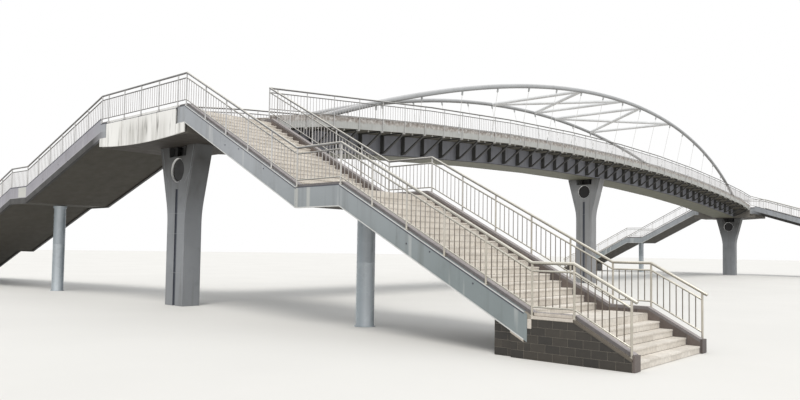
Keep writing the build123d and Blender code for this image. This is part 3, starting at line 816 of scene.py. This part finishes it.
def make_skirting(tiles):
    """Dark tiles on the kerbs' inner sides, one above each tread, their darkness partly painted shade of the
    kerbs' inner faces, and dark blocks at their feet.
    """
    rise, half_gap, proud, block_length = kerb_rise - 0.03, 0.0025, 0.005, 0.022
    faces = [(side * kerb_inner, side * (kerb_inner - proud)) for side in both]
    flights = [(steep_line[2 * i], steep_going, steep_riser, risers) for i in range(2)]
    flights += [(gentle_line[2 * i], -gentle_going, gentle_riser, risers - i // 2) for i in range(3)]
    flights.append((steep_line[-1], ground_going, ground_riser, ground_risers - 1))
    for (x, z), going, riser, count in flights:
        gap = math.copysign(half_gap, going)
        for step in range(1, count + 1):
            nose, top = x + step * going, z - step * riser
            back = nose - going
            outline = [(back + gap, top + 0.001), (nose - gap, top + 0.001),
                       (nose - gap, top + rise), (back + gap, top + riser + rise)]
            for y_a, y_b in faces:
                tiles.panel(outline, y_a, y_b)
    for line in (steep_line, gentle_line):
        for (x_start, z), (x_end, _) in (line[1:3], line[3:5]):
            for x_a, x_b in runs(spaced(x_start, x_end, 4)):
                gap = math.copysign(half_gap, x_b - x_a)
                for y_a, y_b in faces:
                    tiles.band((x_a + gap, z), (x_b - gap, z), paving_lift, rise, y_a, y_b)
    x, z = ground_foot
    for side in both:
        tiles.block((x + 0.0005, side * kerb_inner, 0.001),
                    (x + block_length, side * (stringer_outer - 0.002), z + kerb_rise - 0.004))


def make_end_paving(tiles):
    """Paving of the end landing, up to the kerbs and the start of the deck."""
    gap, rows, edge_rows = 0.005, 10, 9
    reach, half = landing_half - nosing, kerb_inner - gap
    tiles.tiles((-reach, -half, deck_level), (2 * reach, 0, 0), (0, 2 * half, 0), (0, 0, paving_lift),
                rows, tile_columns)
    reach, width = stringer_level_start - 2 * gap, stringer_outer - gap - kerb_inner
    tiles.tiles((-reach, kerb_inner, deck_level), (2 * reach, 0, 0), (0, width, 0), (0, 0, paving_lift),
                edge_rows, 1)


def make_deck_paving(tiles):
    """Paving of the deck between the troughs, laid on each straight length."""
    half, row_length = trough_inner - 0.004, 0.25
    for y_a, y_b in runs(span_breaks):
        z_a, z_b = deck_height(y_a), deck_height(y_b)
        tiles.tiles((-half, y_a, z_a), (0, y_b - y_a, z_b - z_a), (2 * half, 0, 0), (0, 0, paving_lift),
                    round((y_b - y_a) / row_length), tile_columns)


def clipped(outline, through, slope):
    """The part of an outline in X and Z that lies below a line."""
    kept = []
    for (xa, za), (xb, zb) in zip(outline, outline[1:] + outline[:1]):
        side_a, side_b = (z - through[1] - (x - through[0]) * slope for x, z in ((xa, za), (xb, zb)))
        if side_a <= 0:
            kept.append((xa, za))
        if side_a * side_b < 0:
            kept.append(on_way((xa, za), (xb, zb), side_a / (side_a - side_b)))
    return kept


def coursed(x_from, x_to, height, through=None, slope=0):
    """Outlines of glazed blocks in running bond on an upright face, cut off above a sloping line."""
    least_width, least_height, ground_gap = 0.015, 0.01, 0.001
    outlines = []
    for row in range(math.ceil(height / base_tile_height)):
        z_low = row * base_tile_height
        z_a = max(z_low + base_joint / 2, ground_gap)
        z_b = min(z_low + base_tile_height, height) - base_joint / 2
        start = x_from - base_tile_length * (0.5 if row % 2 else 0)
        for column in range(math.ceil((x_to - start) / base_tile_length)):
            x_low = start + column * base_tile_length
            x_a = max(x_low, x_from) + base_joint / 2
            x_b = min(x_low + base_tile_length, x_to) - base_joint / 2
            if x_b - x_a < least_width or z_b - z_a < least_height:
                continue
            outline = [(x_a, z_a), (x_b, z_a), (x_b, z_b), (x_a, z_b)]
            if through:
                outline = clipped(outline, through, slope)
            if len(outline) > 2:
                outlines.append(outline)
    return outlines


def make_base_tiles(tiles):
    """Glazed blocks on the cheeks, on the pedestals and on the core under the steep stair."""
    (x_c, z_c), (x_d, z_d) = steep_line[-1], ground_foot
    level = z_c + stringer_rise - base_cap
    cheek = coursed(cheek_front, x_d, level, (x_c, level), (z_d - z_c) / (x_d - x_c))
    plate_foot = cheek_level + stringer_foot
    back = cheek_front - pedestal_length
    pedestal_top, core_top = 0.25, 0.4
    cap_foot = (cheek_front, plate_foot - pedestal_cap_drop)
    pedestal = coursed(back, cheek_front, pedestal_top, cap_foot, -stair_slope)
    core_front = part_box("near_steep_base")[0].x
    core_level = plate_foot + 0.016
    core = coursed(core_front, back, core_top, (cheek_front, core_level), -stair_slope)
    for outlines, reach in ((cheek, stringer_outer), (pedestal, stringer_outer), (core, stringer_inner)):
        for side in both:
            for outline in outlines:
                tiles.panel(outline, side * (reach - base_tile_sink), side * (reach + base_tile_proud))
    height = core_level + stair_slope * (cheek_front - core_front)
    for outline in coursed(-stringer_inner, stringer_inner, height):
        tiles.prism([(core_front - base_tile_proud, y, z) for y, z in outline],
                    (base_tile_proud + base_tile_sink, 0, 0))


def make_base_stones(level_stones, slope_stones):
    """Pale caps and pedestal stones of the base, and duller caps beside the short flight."""
    (x_b, z_b), (x_c, z_c) = steep_line[3:5]
    high, joint, sink, proud = stringer_rise + 0.003, 0.001, 0.03, 0.008
    low = cheek_level + stringer_foot - pedestal_cap_drop
    back, front = cheek_front - pedestal_length - 0.006, cheek_front - 0.002
    rise = stair_slope * (cheek_front - back)
    cap = [(back, low + rise), (front, low), (front, low + pedestal_cap), (back, low + pedestal_cap + rise)]
    for side in both:
        y_a, y_b = side * (stringer_outer - sink), side * (stringer_outer + proud)
        level_stones.band((x_b + 0.003, z_b), (x_c - joint, z_c), high - base_cap, high, y_a, y_b)
        slope_stones.band((x_c + joint, z_c), ground_foot, high - base_cap, high, y_a, y_b)
        level_stones.band((x_b + 0.012, z_b), (x_c - 0.008, z_c), high + 0.001, kerb_rise - 0.001,
                          side * (stringer_inner - 0.001), side * (stringer_inner + 0.005))
        level_stones.block((cheek_front + 0.04, y_a, z_b - 0.078), (cheek_front + 0.082, y_b, z_b + 0.008))
        level_stones.panel(cap, y_a, y_b)


def face_strip(shape, start, end, low, high, inward, outward):
    """A strip on the outer face of both stringers, between two heights above a run."""
    for side in both:
        shape.band(start, end, low, high, side * (stringer_outer - inward), side * (stringer_outer + outward))


def make_trims(dark, pale, plain):
    """Top strips, upstands, lower flanges, weld beads, plugs and lapped end plates of the stringers; the dark
    strips at the tops are partly painted shadow lines.
    """
    low, high = stringer_foot, stringer_rise
    sink, strip, plug, lap, bead = 0.004, 0.009, 0.0085, 0.036, 0.003
    cut = (cheek_front, cheek_level)
    plug_places = ((0.407, -0.106), (0.532, -0.02), (0.746, -0.035))
    steep = runs([(stringer_level_start, deck_level)] + steep_line[:3]) + [(steep_line[2], cut)]
    gentle = runs([(-stringer_level_start, deck_level)] + gentle_line)
    for start, end in steep + gentle:
        if start[0] > 0 and start[1] > end[1]:
            face_strip(pale, start, end, high - strip, high + 0.001, sink, 0.003)
            # a dark strip under the pale strip, as a painted shadow line
            face_strip(dark, start, end, high - 0.024, high - strip, sink, 0.002)
        elif start[0] > -landing_half:
            # a dark top strip, partly a painted shadow line
            face_strip(dark, start, end, high - 0.011, high + 0.001, sink, 0.0025)
        else:
            face_strip(plain, start, end, high + 0.0005, gentle_upstand, 0.002, 0.001)
            # a dark strip above the upstand, partly a painted shadow line
            face_strip(dark, start, end, gentle_upstand, gentle_upstand + 0.022, 0.002, 0.002)
        over_ground = min(1, (start[1] + low - 0.002) / max(0.001, start[1] - end[1]))
        flange = pale if start[0] > 0 else plain
        face_strip(flange, start, on_way(start, end, over_ground), low - 0.001, low + 0.010, 0.045, 0.008)
        for share in (0.0, 0.36, 0.7) if abs(end[0] - start[0]) > 1 else (0.0,):
            x, z = on_way(start, end, share)
            if z + low >= 0.02:
                face_strip(plain, (x - bead, z), (x + bead, z), low + 0.012, high - 0.014, 0, 0.0015)
    for start, end in (steep_line[0:2], steep_line[2:4], gentle_line[0:2], gentle_line[2:4]):
        for share, rise in plug_places:
            x, z = on_way(start, end, share)
            for side in both:
                dark.turned([(plug, 0), (plug, 0.004), (0.005, 0.006)],
                            (x, side * stringer_outer, z + rise), (0, side, 0), 12)
    face_strip(plain, cut, (cut[0] + lap, cut[1] - lap * stair_slope), low + 0.002, high - 0.002, 0, 0.005)
    for side in both:
        dark.block((0, -stringer_inner - 0.0545, deck_level + 0.0102),
                   (side * (stringer_level_start - 0.002), -stringer_inner - 0.0065, deck_level + 0.0165))


def hung(shape, x_a, x_b, top, lift, back, front, pieces):
    """A facing panel whose lower edge follows the bow of the landing's end facing."""
    lowest, bow = 2.635, 0.06
    bottom = [(x, lowest + bow * (x / landing_half) ** 2 + lift) for x in spaced(x_a, x_b, pieces)]
    shape.panel(bottom + [(x_b, top), (x_a, top)], -stringer_inner - back, -stringer_inner - front)


def make_fascia(panels, backing):
    """White facing panels of the landing's outer end, with open joints over a dark backing that paints the
    shade in the joints.
    """
    top = deck_level + 0.01
    step_level = deck_level + stringer_foot - 0.0003
    reach, gap, lift = 1.12, 0.008, 0.004
    for x_a, x_b in runs(spaced(-reach, reach, end_rail_bays)):
        hung(panels, x_a + gap, x_b - gap, top, 0, 0.035, 0.055, 4)
        hung(backing, x_a, x_b, top - lift, lift, 0.0005, 0.036, 4)
    for side in both:
        hung(panels, side * (reach + 0.004), side * (landing_half - 0.001), step_level, 0, 0.03, 0.0535, 2)
        hung(backing, side * reach, side * (landing_half - 0.003), step_level - lift, lift, 0.0005, 0.031, 2)
    kerb_reach = stringer_level_start - 0.004
    for x_a, x_b in runs(spaced(-kerb_reach, kerb_reach, end_rail_bays)):
        panels.block((x_a + 0.002, -stringer_inner - 0.006, top + 0.002),
                     (x_b - 0.002, -stringer_inner - 0.0005, deck_level + kerb_rise - 0.003))


def make_ring(ring, disc, top):
    """The white tube in a pier's opening and the dark disc that closes it near each face, as painted shade of
    the opening's hollow.
    """
    centre, outer, inner = (0, 0, top - ring_drop), ring_radius, ring_radius - ring_wall
    inset, lip_reach = 0.03, 0.004
    for side in both:
        face, inside, lip = (side * (ring_face + reach) for reach in (0, -inset, lip_reach))
        profile = [(outer, 0), (outer, face - side * 0.002), (outer - 0.004, lip), (inner + 0.003, lip),
                   (inner, face), (inner, inside), (inner, 0)]
        ring.turned(profile, centre, (0, 1, 0), 64, closed=True)
        disc.turned([(inner + 0.001, inside - side * 0.012), (inner + 0.001, inside),
                     (inner - 0.02, inside + side * 0.002)], centre, (0, 1, 0), 64)


def make_pier_trims(beads, lining, bearings, top):
    """Weld beads and edge strips on a pier's faces, a groove lining darker as painted shade of the groove,
    and near-black bearings as painted shade in its notch.
    """
    start = top - flare_height
    head = pier_half_width + flare_height * flare_slope
    bead_reach, bead_half, bead_proud = pier_half_width - 0.004, 0.003, 0.002
    strip_foot, strip_inset, strip_width = 0.225, 0.075, 0.006
    for side in both:
        y = side * pier_half_depth
        for level in (0.55, 1.2, start - 0.02):
            beads.block((-bead_reach, y, level - bead_half),
                        (bead_reach, y + side * bead_proud, level + bead_half))
        for flank in both:
            inner = [(flank * strip_foot, start + 0.04), (flank * (head - strip_inset), top - 0.01)]
            edge = [(x + flank * strip_width, z) for x, z in inner]
            beads.panel(inner + edge[::-1], y - side * 0.001, y + side * bead_proud)
            beads.band((flank * 0.235, top - 0.62), (flank * (head - 0.11), top - 0.36), -0.006, 0,
                       y - side * 0.001, y + side * 0.0018)
    groove_back, groove_top = -pier_half_depth + groove_depth, top - groove_drop - 0.0005
    lining.block((-groove_half_width + 0.0005, groove_back - 0.002, 0.002),
                 (groove_half_width - 0.0005, groove_back - 0.0003, groove_top))
    for flank in both:
        lining.block((flank * (groove_half_width - 0.0003), -pier_half_depth + 0.001, 0.002),
                     (flank * (groove_half_width - 0.0015), groove_back - 0.0022, groove_top))
    bearing_x, bearing_y = 0.13, 0.08
    bearing_parts = ((0.05, 0.04, 0.175, 0.13), (0.038, 0.03, 0.13, 0.035), (0.05, 0.04, 0.035, 0.001))
    bearings.pad(0, 0, 0.22, 0.035, top - 0.174, top - 0.003)
    for flank in both:
        for side in both:
            for half_x, half_y, low, high in bearing_parts:
                bearings.pad(flank * bearing_x, side * bearing_y, half_x, half_y, top - low, top - high)


def make_columns(columns):
    """Round columns with a foot plate, a seam and a collar under the stairs."""
    r, plate, seam_rise, collar = column_radius, 0.018, 0.002, 0.016
    for (x_a, z), (x_b, _) in (steep_line[1:3], gentle_line[1:3], gentle_line[3:5]):
        top = z + stringer_foot
        seam = top * 0.55
        profile = [(r + plate, 0.0), (r + plate, 0.01), (r + 0.004, 0.012), (r, 0.03), (r, seam - 0.006),
                   (r + seam_rise, seam - 0.003), (r + seam_rise, seam + 0.003), (r, seam + 0.006),
                   (r, top - 0.05), (r + collar, top - 0.045), (r + collar, top - 0.001)]
        columns.turned(profile, ((x_a + x_b) / 2, 0, 0), (0, 0, 1), 40)


# The arch rib lies on an arc in a plane that leans outward
arch_foot_level = deck_height(arch_half_length) + arch_foot_rise
slant_rise = arch_rise / math.cos(lean)
rib_arc_radius = (arch_half_length**2 + slant_rise**2) / (2 * slant_rise)
rib_half_angle = math.asin(arch_half_length / rib_arc_radius)


def rib_arc(share, side=1):
    """Point of a rib's centre line, from its near foot at -1 to its far foot at 1."""
    angle = share * rib_half_angle
    up = slant_rise - rib_arc_radius + rib_arc_radius * math.cos(angle)
    x = arch_foot_x + up * math.sin(lean)
    return Vector((side * x, rib_arc_radius * math.sin(angle), arch_foot_level + up * math.cos(lean)))


def rib_at(y, side=1):
    return rib_arc(math.asin(y / rib_arc_radius) / rib_half_angle, side)


def make_rib(rib, side):
    """One arch rib as a smooth tube with weld bands at its joints, and a shoe at each foot."""
    pieces_per_length, sides = 5, 28
    path = [rib_arc(share, side) for share in spaced(-1, 1, rib_lengths * pieces_per_length)]
    rib.tube(path, rib_radius, sides)
    band = rib_radius + 0.0012
    for share in between(-1, 1, rib_lengths - 1):
        ahead = rib_arc(share + 0.001, side) - rib_arc(share - 0.001, side)
        rib.turned([(rib_radius, -0.011), (band, -0.006), (band, 0.006), (rib_radius, 0.011)],
                   rib_arc(share, side), ahead, sides)
    x = side * arch_foot_x
    for end in both:
        y_a, y_b = end * (arch_half_length - 0.012), end * (arch_half_length + shoe_length)
        for half, high in ((shoe_half, shoe_height), (shoe_half + 0.02, 0.014)):
            rib.length(y_a, y_b, deck_height, 0, high, x - half, x + half)


def make_hangers(rods, fittings):
    """Hanger rods with a stub at the rib, a tightener and an anchor plate at the deck."""
    outside = deck_rail_x + foot_half_y + 2 * hanger_radius
    plate, seat_half, tightener, stub_end = 0.012, 0.03, 0.0105, rib_radius + stub_length
    half = [(i + 0.5) * hanger_pitch for i in range(hangers_per_half)]
    for side in both:
        for y in [-place for place in half] + half:
            head = rib_at(y)
            if head.x > outside:
                foot = Vector((deck_half_width + hanger_radius + 0.0003, y, deck_height(y) + anchor_level))
                fittings.block((side * deck_half_width, y - 0.022, foot.z - 0.035),
                               (side * (deck_half_width + plate), y + 0.022, foot.z + 0.03))
            else:
                foot = Vector((min(head.x, inner_anchor_x), y, deck_height(y) + hanger_radius / 2))
                fittings.pad(side * foot.x, y, seat_half, seat_half, foot.z - 0.004, foot.z + 0.008)
            head.x, foot.x = side * head.x, side * foot.x
            ahead = (foot - head).normalized()
            reach = (foot - head).length
            rods.tube([head + ahead * (rib_radius - 0.004), foot], hanger_radius, 10)
            fittings.turned([(stub_radius, rib_radius - 0.012), (stub_radius, stub_end - 0.02),
                             (stub_radius / 2, stub_end)], head, ahead, 20)
            if reach > 0.5:
                fittings.turned([(0.006, reach - 0.2), (tightener, reach - 0.185), (tightener, reach - 0.085),
                                 (0.006, reach - 0.07)], head, ahead, 12)


def make_bracing(braces):
    """Struts and crossed diagonals between the ribs, with a collar at each end."""
    wide, sides = brace_radius + 0.005, 24
    collar = [(brace_radius, rib_radius - 0.02), (wide, rib_radius + 0.004), (wide, rib_radius + 0.016),
              (brace_radius, rib_radius + 0.02)]
    for end in both:
        inner, outer = end * inner_brace_y, end * outer_brace_y
        for y_a, y_b, side in ((inner, inner, -1), (outer, outer, -1), (inner, outer, -1), (inner, outer, 1)):
            start, finish = rib_at(y_a, side), rib_at(y_b, -side)
            braces.tube([start, finish], brace_radius, sides)
            braces.turned(collar, start, finish - start, sides)
            braces.turned(collar, finish, start - finish, sides)


def make_bracket_plates(flanges, gussets, fittings):
    """Strut flanges, pale tip plates at the post feet and small fittings between them."""
    tip = deck_half_width - trough_wall
    thick, half = 0.007, 0.024
    for y in bracket_places:
        top = deck_height(y) - slab_thickness - 0.002 - bracket_tip_depth
        foot = soffit_height(y) + bracket_foot_gap
        low = deck_height(y) - fascia_drop - 0.032
        for side in both:
            strut = (side * strut_x, foot)
            for end in ((side * (tip - 0.004), top), (side * girder_half, foot)):
                flanges.band(end, strut, -thick, 0, y - half, y + half)
            gussets.block((side * (tip - 0.03), y - 0.02, low),
                          (side * (deck_half_width - 0.001), y + 0.02, low + 0.031))
    for y_a, y_b in runs(bracket_places):
        y = (y_a + y_b) / 2
        for side in both:
            fittings.turned([(0.016, 0.0), (0.016, 0.012), (0.009, 0.014), (0.009, 0.04)],
                            (side * (tip - 0.05), y, deck_height(y) - slab_thickness - 0.04), (0, 0, 1), 12)


def make_span_trims(rims, flanges):
    """Rolled rims on the trough walls and flange edges along the girder's underside."""
    for y_a, y_b in runs(span_breaks):
        for side in both:
            for x in (deck_half_width - trough_wall / 2, trough_inner + trough_wall / 2):
                ends = [(side * x, y, deck_height(y) + trough_height - rim_sink) for y in (y_a, y_b)]
                rims.tube(ends, rim_radius, 10)
            flanges.length(y_a, y_b, soffit_height, -0.002, 0.008, side * (girder_half - 0.02),
                           side * (girder_half + 0.012))


# Finishes
# the piers darken towards their heads with painted shade under the landing and the girder
pier_blue = pier_paint("pier_paint", (136, 139, 143), 1.5, 2.45)
mid_pier_blue = pier_paint("mid_pier_paint", (152, 153, 155), 2.9, 3.35)
ring_white = paint("ring_paint", (254, 254, 253), streaks=0.08)
# near-black disc paint: painted shade of the hollow in the ring
ring_dark = paint("ring_disc_paint", (23, 21, 23), streaks=0.2, roughness=0.6)
bead_grey = paint("weld_paint", (146, 149, 153), streaks=0.2)
# the groove lining's darker paint is painted shade of the groove
lining_slate = paint("groove_paint", (84, 88, 97), streaks=0.2)
# near-black bearings: painted shade in the notch
bearing_dark = paint("bearing_paint", (22, 21, 21), streaks=0.2, roughness=0.7)
# landing: lighter tops as painted light and a dark brown underside as painted shade
landing_paint = paint("structure_paint", (112, 108, 102), top=(150, 146, 140), under=(52, 46, 39),
                      roughness=0.7)
fascia_white = fascia_paint("fascia_paint")
# dark backing: painted shade in the fascia's open joints
fascia_back = paint("fascia_backing_paint", (70, 68, 64), streaks=0.2, roughness=0.8)
# stringer paint with painted shade low on the gentle stringers
stringer_grey = stringer_paint("stringer_paint")
# dark strips: partly painted shadow lines along the stringers' tops
trim_dark = paint("stringer_strip_paint", (72, 74, 84), streaks=0.2)
trim_pale = paint("stringer_flange_paint", (206, 207, 206), streaks=0.25)
# stair soffits: the darker underside is painted shade
soffit_brown = paint("soffit_paint", (78, 71, 62), under=(63, 59, 50), roughness=0.7)
# kerb sides at half brightness: painted shade on the kerbs' sides
kerb_stone = stone("kerb_stone", (174, 168, 168), side=0.5)
cap_grey = stone("base_slope_cap_stone", (88, 82, 73), (104, 97, 87))
# dark skirting tiles, their darkness partly painted shade of the kerbs' inner faces
skirting_tile = stone("skirting_tile", (84, 76, 74), (112, 102, 97), roughness=0.5)
# tread tops a little darker than the risers: painted shade on the treads
step_stone = stone("step_stone", (224, 217, 207), (243, 237, 228), top=0.97)
core_stone = stone("step_core_stone", (132, 124, 114))
paving_stone = stone("paving_stone", (172, 163, 152), (200, 192, 182))
base_tile = stone("base_tile", (44, 41, 37), (62, 57, 50), grain=25.0, roughness=0.4)
base_grout = stone("base_grout", (158, 151, 139))
base_pale = stone("base_cap_stone", (172, 162, 150), (214, 206, 196))
# column paint with painted shade on its deck side and outer side
column_grey = column_paint("column_paint", (212, 220, 227))
# rails and posts: painted highlight on top, painted shade beneath, and a side colour high up as painted light
# and shade
rail_steel = steel("rail_steel", (192, 188, 177), (242, 238, 226), (104, 100, 92), (136, 137, 141))
post_steel = steel("post_steel", (206, 200, 188), (226, 221, 210), (138, 133, 125), (208, 207, 206))
# balusters: dark brown low down as painted shade, pale high up as painted light
bar_steel = steel("baluster_steel", (122, 113, 103), (130, 122, 112), (110, 103, 95), (204, 201, 200),
                  0.45, 0.6)
# girder: the darker underside is painted shade
girder_slate = paint("girder_paint", (132, 133, 140), under=(106, 105, 90), streaks=0.4, roughness=0.65)
bracket_dark = paint("bracket_paint", (72, 72, 70), roughness=0.65)
flange_dark = paint("bracket_flange_paint", (74, 73, 72), roughness=0.65)
gusset_pale = paint("gusset_paint", (214, 213, 208))
# deck slab: the darker underside is painted shade
slab_paint = paint("deck_slab_paint", (150, 146, 138), top=(150, 143, 134), under=(90, 86, 76),
                   roughness=0.8)
trough_grey = trough_paint("trough_paint")
rim_rust = paint("trough_rim_paint", (170, 162, 154), stain=(0.6, 0.5, 0.42, 1.0), streaks=0.7)
# arches: lighter tops as painted light and darker undersides as painted shade
arch_grey = paint("arch_paint", (178, 180, 182), top=(200, 201, 203), under=(146, 147, 149),
                  streaks=0.2, roughness=0.4)
# hangers: painted shade beneath
hanger_steel = steel("hanger_steel", (222, 221, 218), (222, 221, 218), (190, 189, 186),
                     roughness=0.35, metallic=0.6)
fitting_grey = paint("fitting_paint", (196, 198, 199), streaks=0.2)
brace_white = paint("brace_paint", (226, 228, 230), streaks=0.15, roughness=0.42)

end_finishes = dict(pier=pier_blue, pier_ring=ring_white, landing=landing_paint, end_fascia=fascia_white,
                    stringers=stringer_grey, stair_soffits=soffit_brown, stair_kerbs=kerb_stone,
                    steep_steps=step_stone, gentle_steps=step_stone, steep_base=base_grout,
                    stair_columns=column_grey, stair_posts=rail_steel, stair_rails=rail_steel)
finishes = dict(mid_pier=mid_pier_blue, mid_pier_ring=ring_white, box_girder=girder_slate,
                deck_slab=slab_paint, edge_troughs=trough_grey, deck_brackets=bracket_dark,
                deck_posts=rail_steel, deck_rails=rail_steel, east_arch_rib=arch_grey,
                west_arch_rib=arch_grey, arch_hangers=hanger_steel, arch_bracing=brace_white)
for end in end_places:
    finishes.update({f"{end}_{piece}": finish for piece, finish in end_finishes.items()})
for node, finish in finishes.items():
    nodes[node].data.materials.clear()
    nodes[node].data.materials.append(finish)

# Pieces of both ends: name, shape, finish, slot, smooth up to this angle, bevel and the node it stands for
rails, balusters, posts, feet = shapes(4)
make_stair_rails(rails, balusters, posts, feet)
steep_treads, steep_cores, gentle_treads, gentle_cores = shapes(4)
make_steps(steep_treads, steep_cores, True)
make_steps(gentle_treads, gentle_cores, False)
skirting, paving, tiles, stones, slope_stones = shapes(5)
make_skirting(skirting)
make_end_paving(paving)
make_base_tiles(tiles)
make_base_stones(stones, slope_stones)
dark, pale, plain, panels, backing, columns = shapes(6)
make_trims(dark, pale, plain)
make_fascia(panels, backing)
make_columns(columns)
end_pieces = (
    ("stair_handrails", rails, rail_steel, "rail_steel", 40, 0, "stair_rails"),
    ("stair_balusters", balusters, bar_steel, "rail_steel", 50),
    ("stair_rail_posts", posts, post_steel, "rail_steel", 50, 0, "stair_posts"),
    ("stair_post_feet", feet, post_steel, "rail_steel", 0, 0.002),
    ("steep_treads", steep_treads, step_stone, "step_stone", 0, 0.0012, "steep_steps"),
    ("steep_step_cores", steep_cores, core_stone, "step_stone"),
    ("gentle_treads", gentle_treads, step_stone, "step_stone", 0, 0.0012, "gentle_steps"),
    ("gentle_step_cores", gentle_cores, core_stone, "step_stone"),
    ("kerb_skirting", skirting, skirting_tile, "masonry_tile", 0, 0.0012),
    ("landing_paving", paving, paving_stone, "step_stone", 0, 0.0012),
    ("base_tiles", tiles, base_tile, "masonry_tile", 0, 0.0006),
    ("base_stones", stones, base_pale, "kerb_stone", 0, 0.002),
    ("base_slope_caps", slope_stones, cap_grey, "kerb_stone", 0, 0.002),
    ("stringer_plates", plain, stringer_grey, "stringer_paint"),
    ("stringer_strips", dark, trim_dark, "stringer_paint"),
    ("stringer_flanges", pale, trim_pale, "stringer_paint"),
    ("fascia_panels", panels, fascia_white, "fascia_white", 0, 0.002, "end_fascia"),
    ("fascia_backing", backing, fascia_back, "structure_paint"),
    ("round_columns", columns, column_grey, "column_paint", 35, 0, "stair_columns"),
)
for end, place in end_places.items():
    build_all(end, place, end_pieces)

# Piers' rings, beads and bearings
pier_tops = {
    "near": (landing_low.z, end_places["near"]),
    "far": (landing_low.z, end_places["far"]),
    "mid": (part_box("mid_pier")[1].z, Matrix.Identity(4)),
}
for name, (top, place) in pier_tops.items():
    ring, disc, beads, lining, bearings = shapes(5)
    make_ring(ring, disc, top)
    make_pier_trims(beads, lining, bearings, top)
    build_all(name, place, (
        ("groove_lining", lining, lining_slate, "pier_concrete"),
        ("ring_tube", ring, ring_white, "ring_white", 40, 0, "pier_ring"),
        ("ring_disc", disc, ring_dark, "structure_paint", 40),
        ("pier_welds", beads, bead_grey, "pier_concrete"),
        ("pier_bearings", bearings, bearing_dark, "structure_paint", 0, 0.003),
    ))

# Pieces of the span
rails, balusters, posts, paving = shapes(4)
make_deck_rails(rails, balusters, posts)
build("deck_handrails", rails, rail_steel, "rail_steel", 40, 0, "deck_rails")
build("deck_balusters", balusters, bar_steel, "rail_steel", 50)
build("deck_rail_posts", posts, post_steel, "rail_steel", 50, 0, "deck_posts")
make_deck_paving(paving)
build("deck_paving_tiles", paving, paving_stone, "deck_paving", 0, 0.0012)
flanges, gussets, fittings, rims, girder_edges = shapes(5)
make_bracket_plates(flanges, gussets, fittings)
build("bracket_flanges", flanges, flange_dark, "girder_paint")
build("bracket_gussets", gussets, gusset_pale, "trough_paint", 0, 0.002)
build("slab_fittings", fittings, gusset_pale, "trough_paint", 40)
make_span_trims(rims, girder_edges)
build("trough_rims", rims, rim_rust, "trough_paint", 40)
build("girder_edge_plates", girder_edges, flange_dark, "girder_paint")
for name, side in (("east", 1), ("west", -1)):
    rib = Shape()
    make_rib(rib, side)
    build(f"{name}_rib_tube", rib, arch_grey, "arch_paint", 35, 0, f"{name}_arch_rib")
rods, fittings, braces = shapes(3)
make_hangers(rods, fittings)
build("hanger_rods", rods, hanger_steel, "hanger_steel", 40, 0, "arch_hangers")
build("hanger_fittings", fittings, fitting_grey, "arch_paint", 40)
make_bracing(braces)
build("brace_tubes", braces, brace_white, "brace_paint", 35, 0, "arch_bracing")

# Floor, light and camera
floor_radius, floor_thickness, floor_gap = 120, 0.018, 0.002
floor_shape = Shape()
floor_shape.prism([(floor_radius * math.cos(a), floor_radius * math.sin(a), -floor_thickness - floor_gap)
                   for a in (2 * math.pi * i / 64 for i in range(64))], (0, 0, floor_thickness))
floor_mesh = bpy.data.meshes.new("floor")
floor_mesh.from_pydata(floor_shape.corners, [], floor_shape.faces)
floor_graph = Graph("floor_pale", 0.9)
floor_mesh.materials.append(floor_graph.finish(floor_graph.mottled((232, 231, 228), 0.4, 0.96)))
in_scene("floor", floor_mesh)

# The camera and mirroring paint see white, and the rest is lit by a softer sky
world = bpy.data.worlds.new("studio")
scene.world = world
world.use_nodes = True
tree = world.node_tree
tree.nodes.clear()
paths = add_node(tree, "ShaderNodeLightPath").outputs
seen_or_mirrored = add_node(tree, "ShaderNodeMath", {0: paths["Is Camera Ray"], 1: paths["Is Glossy Ray"]},
                            operation="MAXIMUM").outputs[0]
soft = add_node(tree, "ShaderNodeBackground", {"Color": (0.97, 0.985, 1.0, 1.0), "Strength": 0.74}).outputs[0]
white = add_node(tree, "ShaderNodeBackground", {"Color": (1.0, 1.0, 1.0, 1.0), "Strength": 1.0}).outputs[0]
blend = add_node(tree, "ShaderNodeMixShader", {"Fac": seen_or_mirrored, 1: soft, 2: white}).outputs[0]
add_node(tree, "ShaderNodeOutputWorld", {"Surface": blend})

sun = bpy.data.lights.new("key", "SUN")
sun.energy = 1.7
sun.angle = math.radians(25)
sun.color = (1.0, 0.97, 0.92)
sun_from = Vector((5.5, -7.5, 13))
in_scene("key", sun).rotation_euler = sun_from.to_track_quat("Z", "Y").to_euler()

# Camera fitted to the photograph's stair, rail and pier lines, image taken as 800 by 400
image_width, image_height = 800, 400
focal_pixels = 710.03
centre_x, centre_y = 407.58, 217.18
camera_place = (10.7949, -20.9722, 0.9931)
camera_yaw, camera_pitch, camera_roll = 0.722, 0.0452, 0.0144
camera_data = bpy.data.cameras.new("camera")
camera_data.sensor_width = 36
camera_data.lens = focal_pixels / image_width * camera_data.sensor_width
camera_data.shift_x = (image_width / 2 - centre_x) / image_width
camera_data.shift_y = (centre_y - image_height / 2) / image_width
camera_data.clip_end = 500
camera = in_scene("camera", camera_data)
camera.matrix_world = (Matrix.Translation(camera_place) @ Matrix.Rotation(camera_yaw, 4, "Z")
                       @ Matrix.Rotation(math.pi / 2 + camera_pitch, 4, "X")
                       @ Matrix.Rotation(camera_roll, 4, "Z"))
scene.camera = camera
scene.view_settings.view_transform = "Standard"
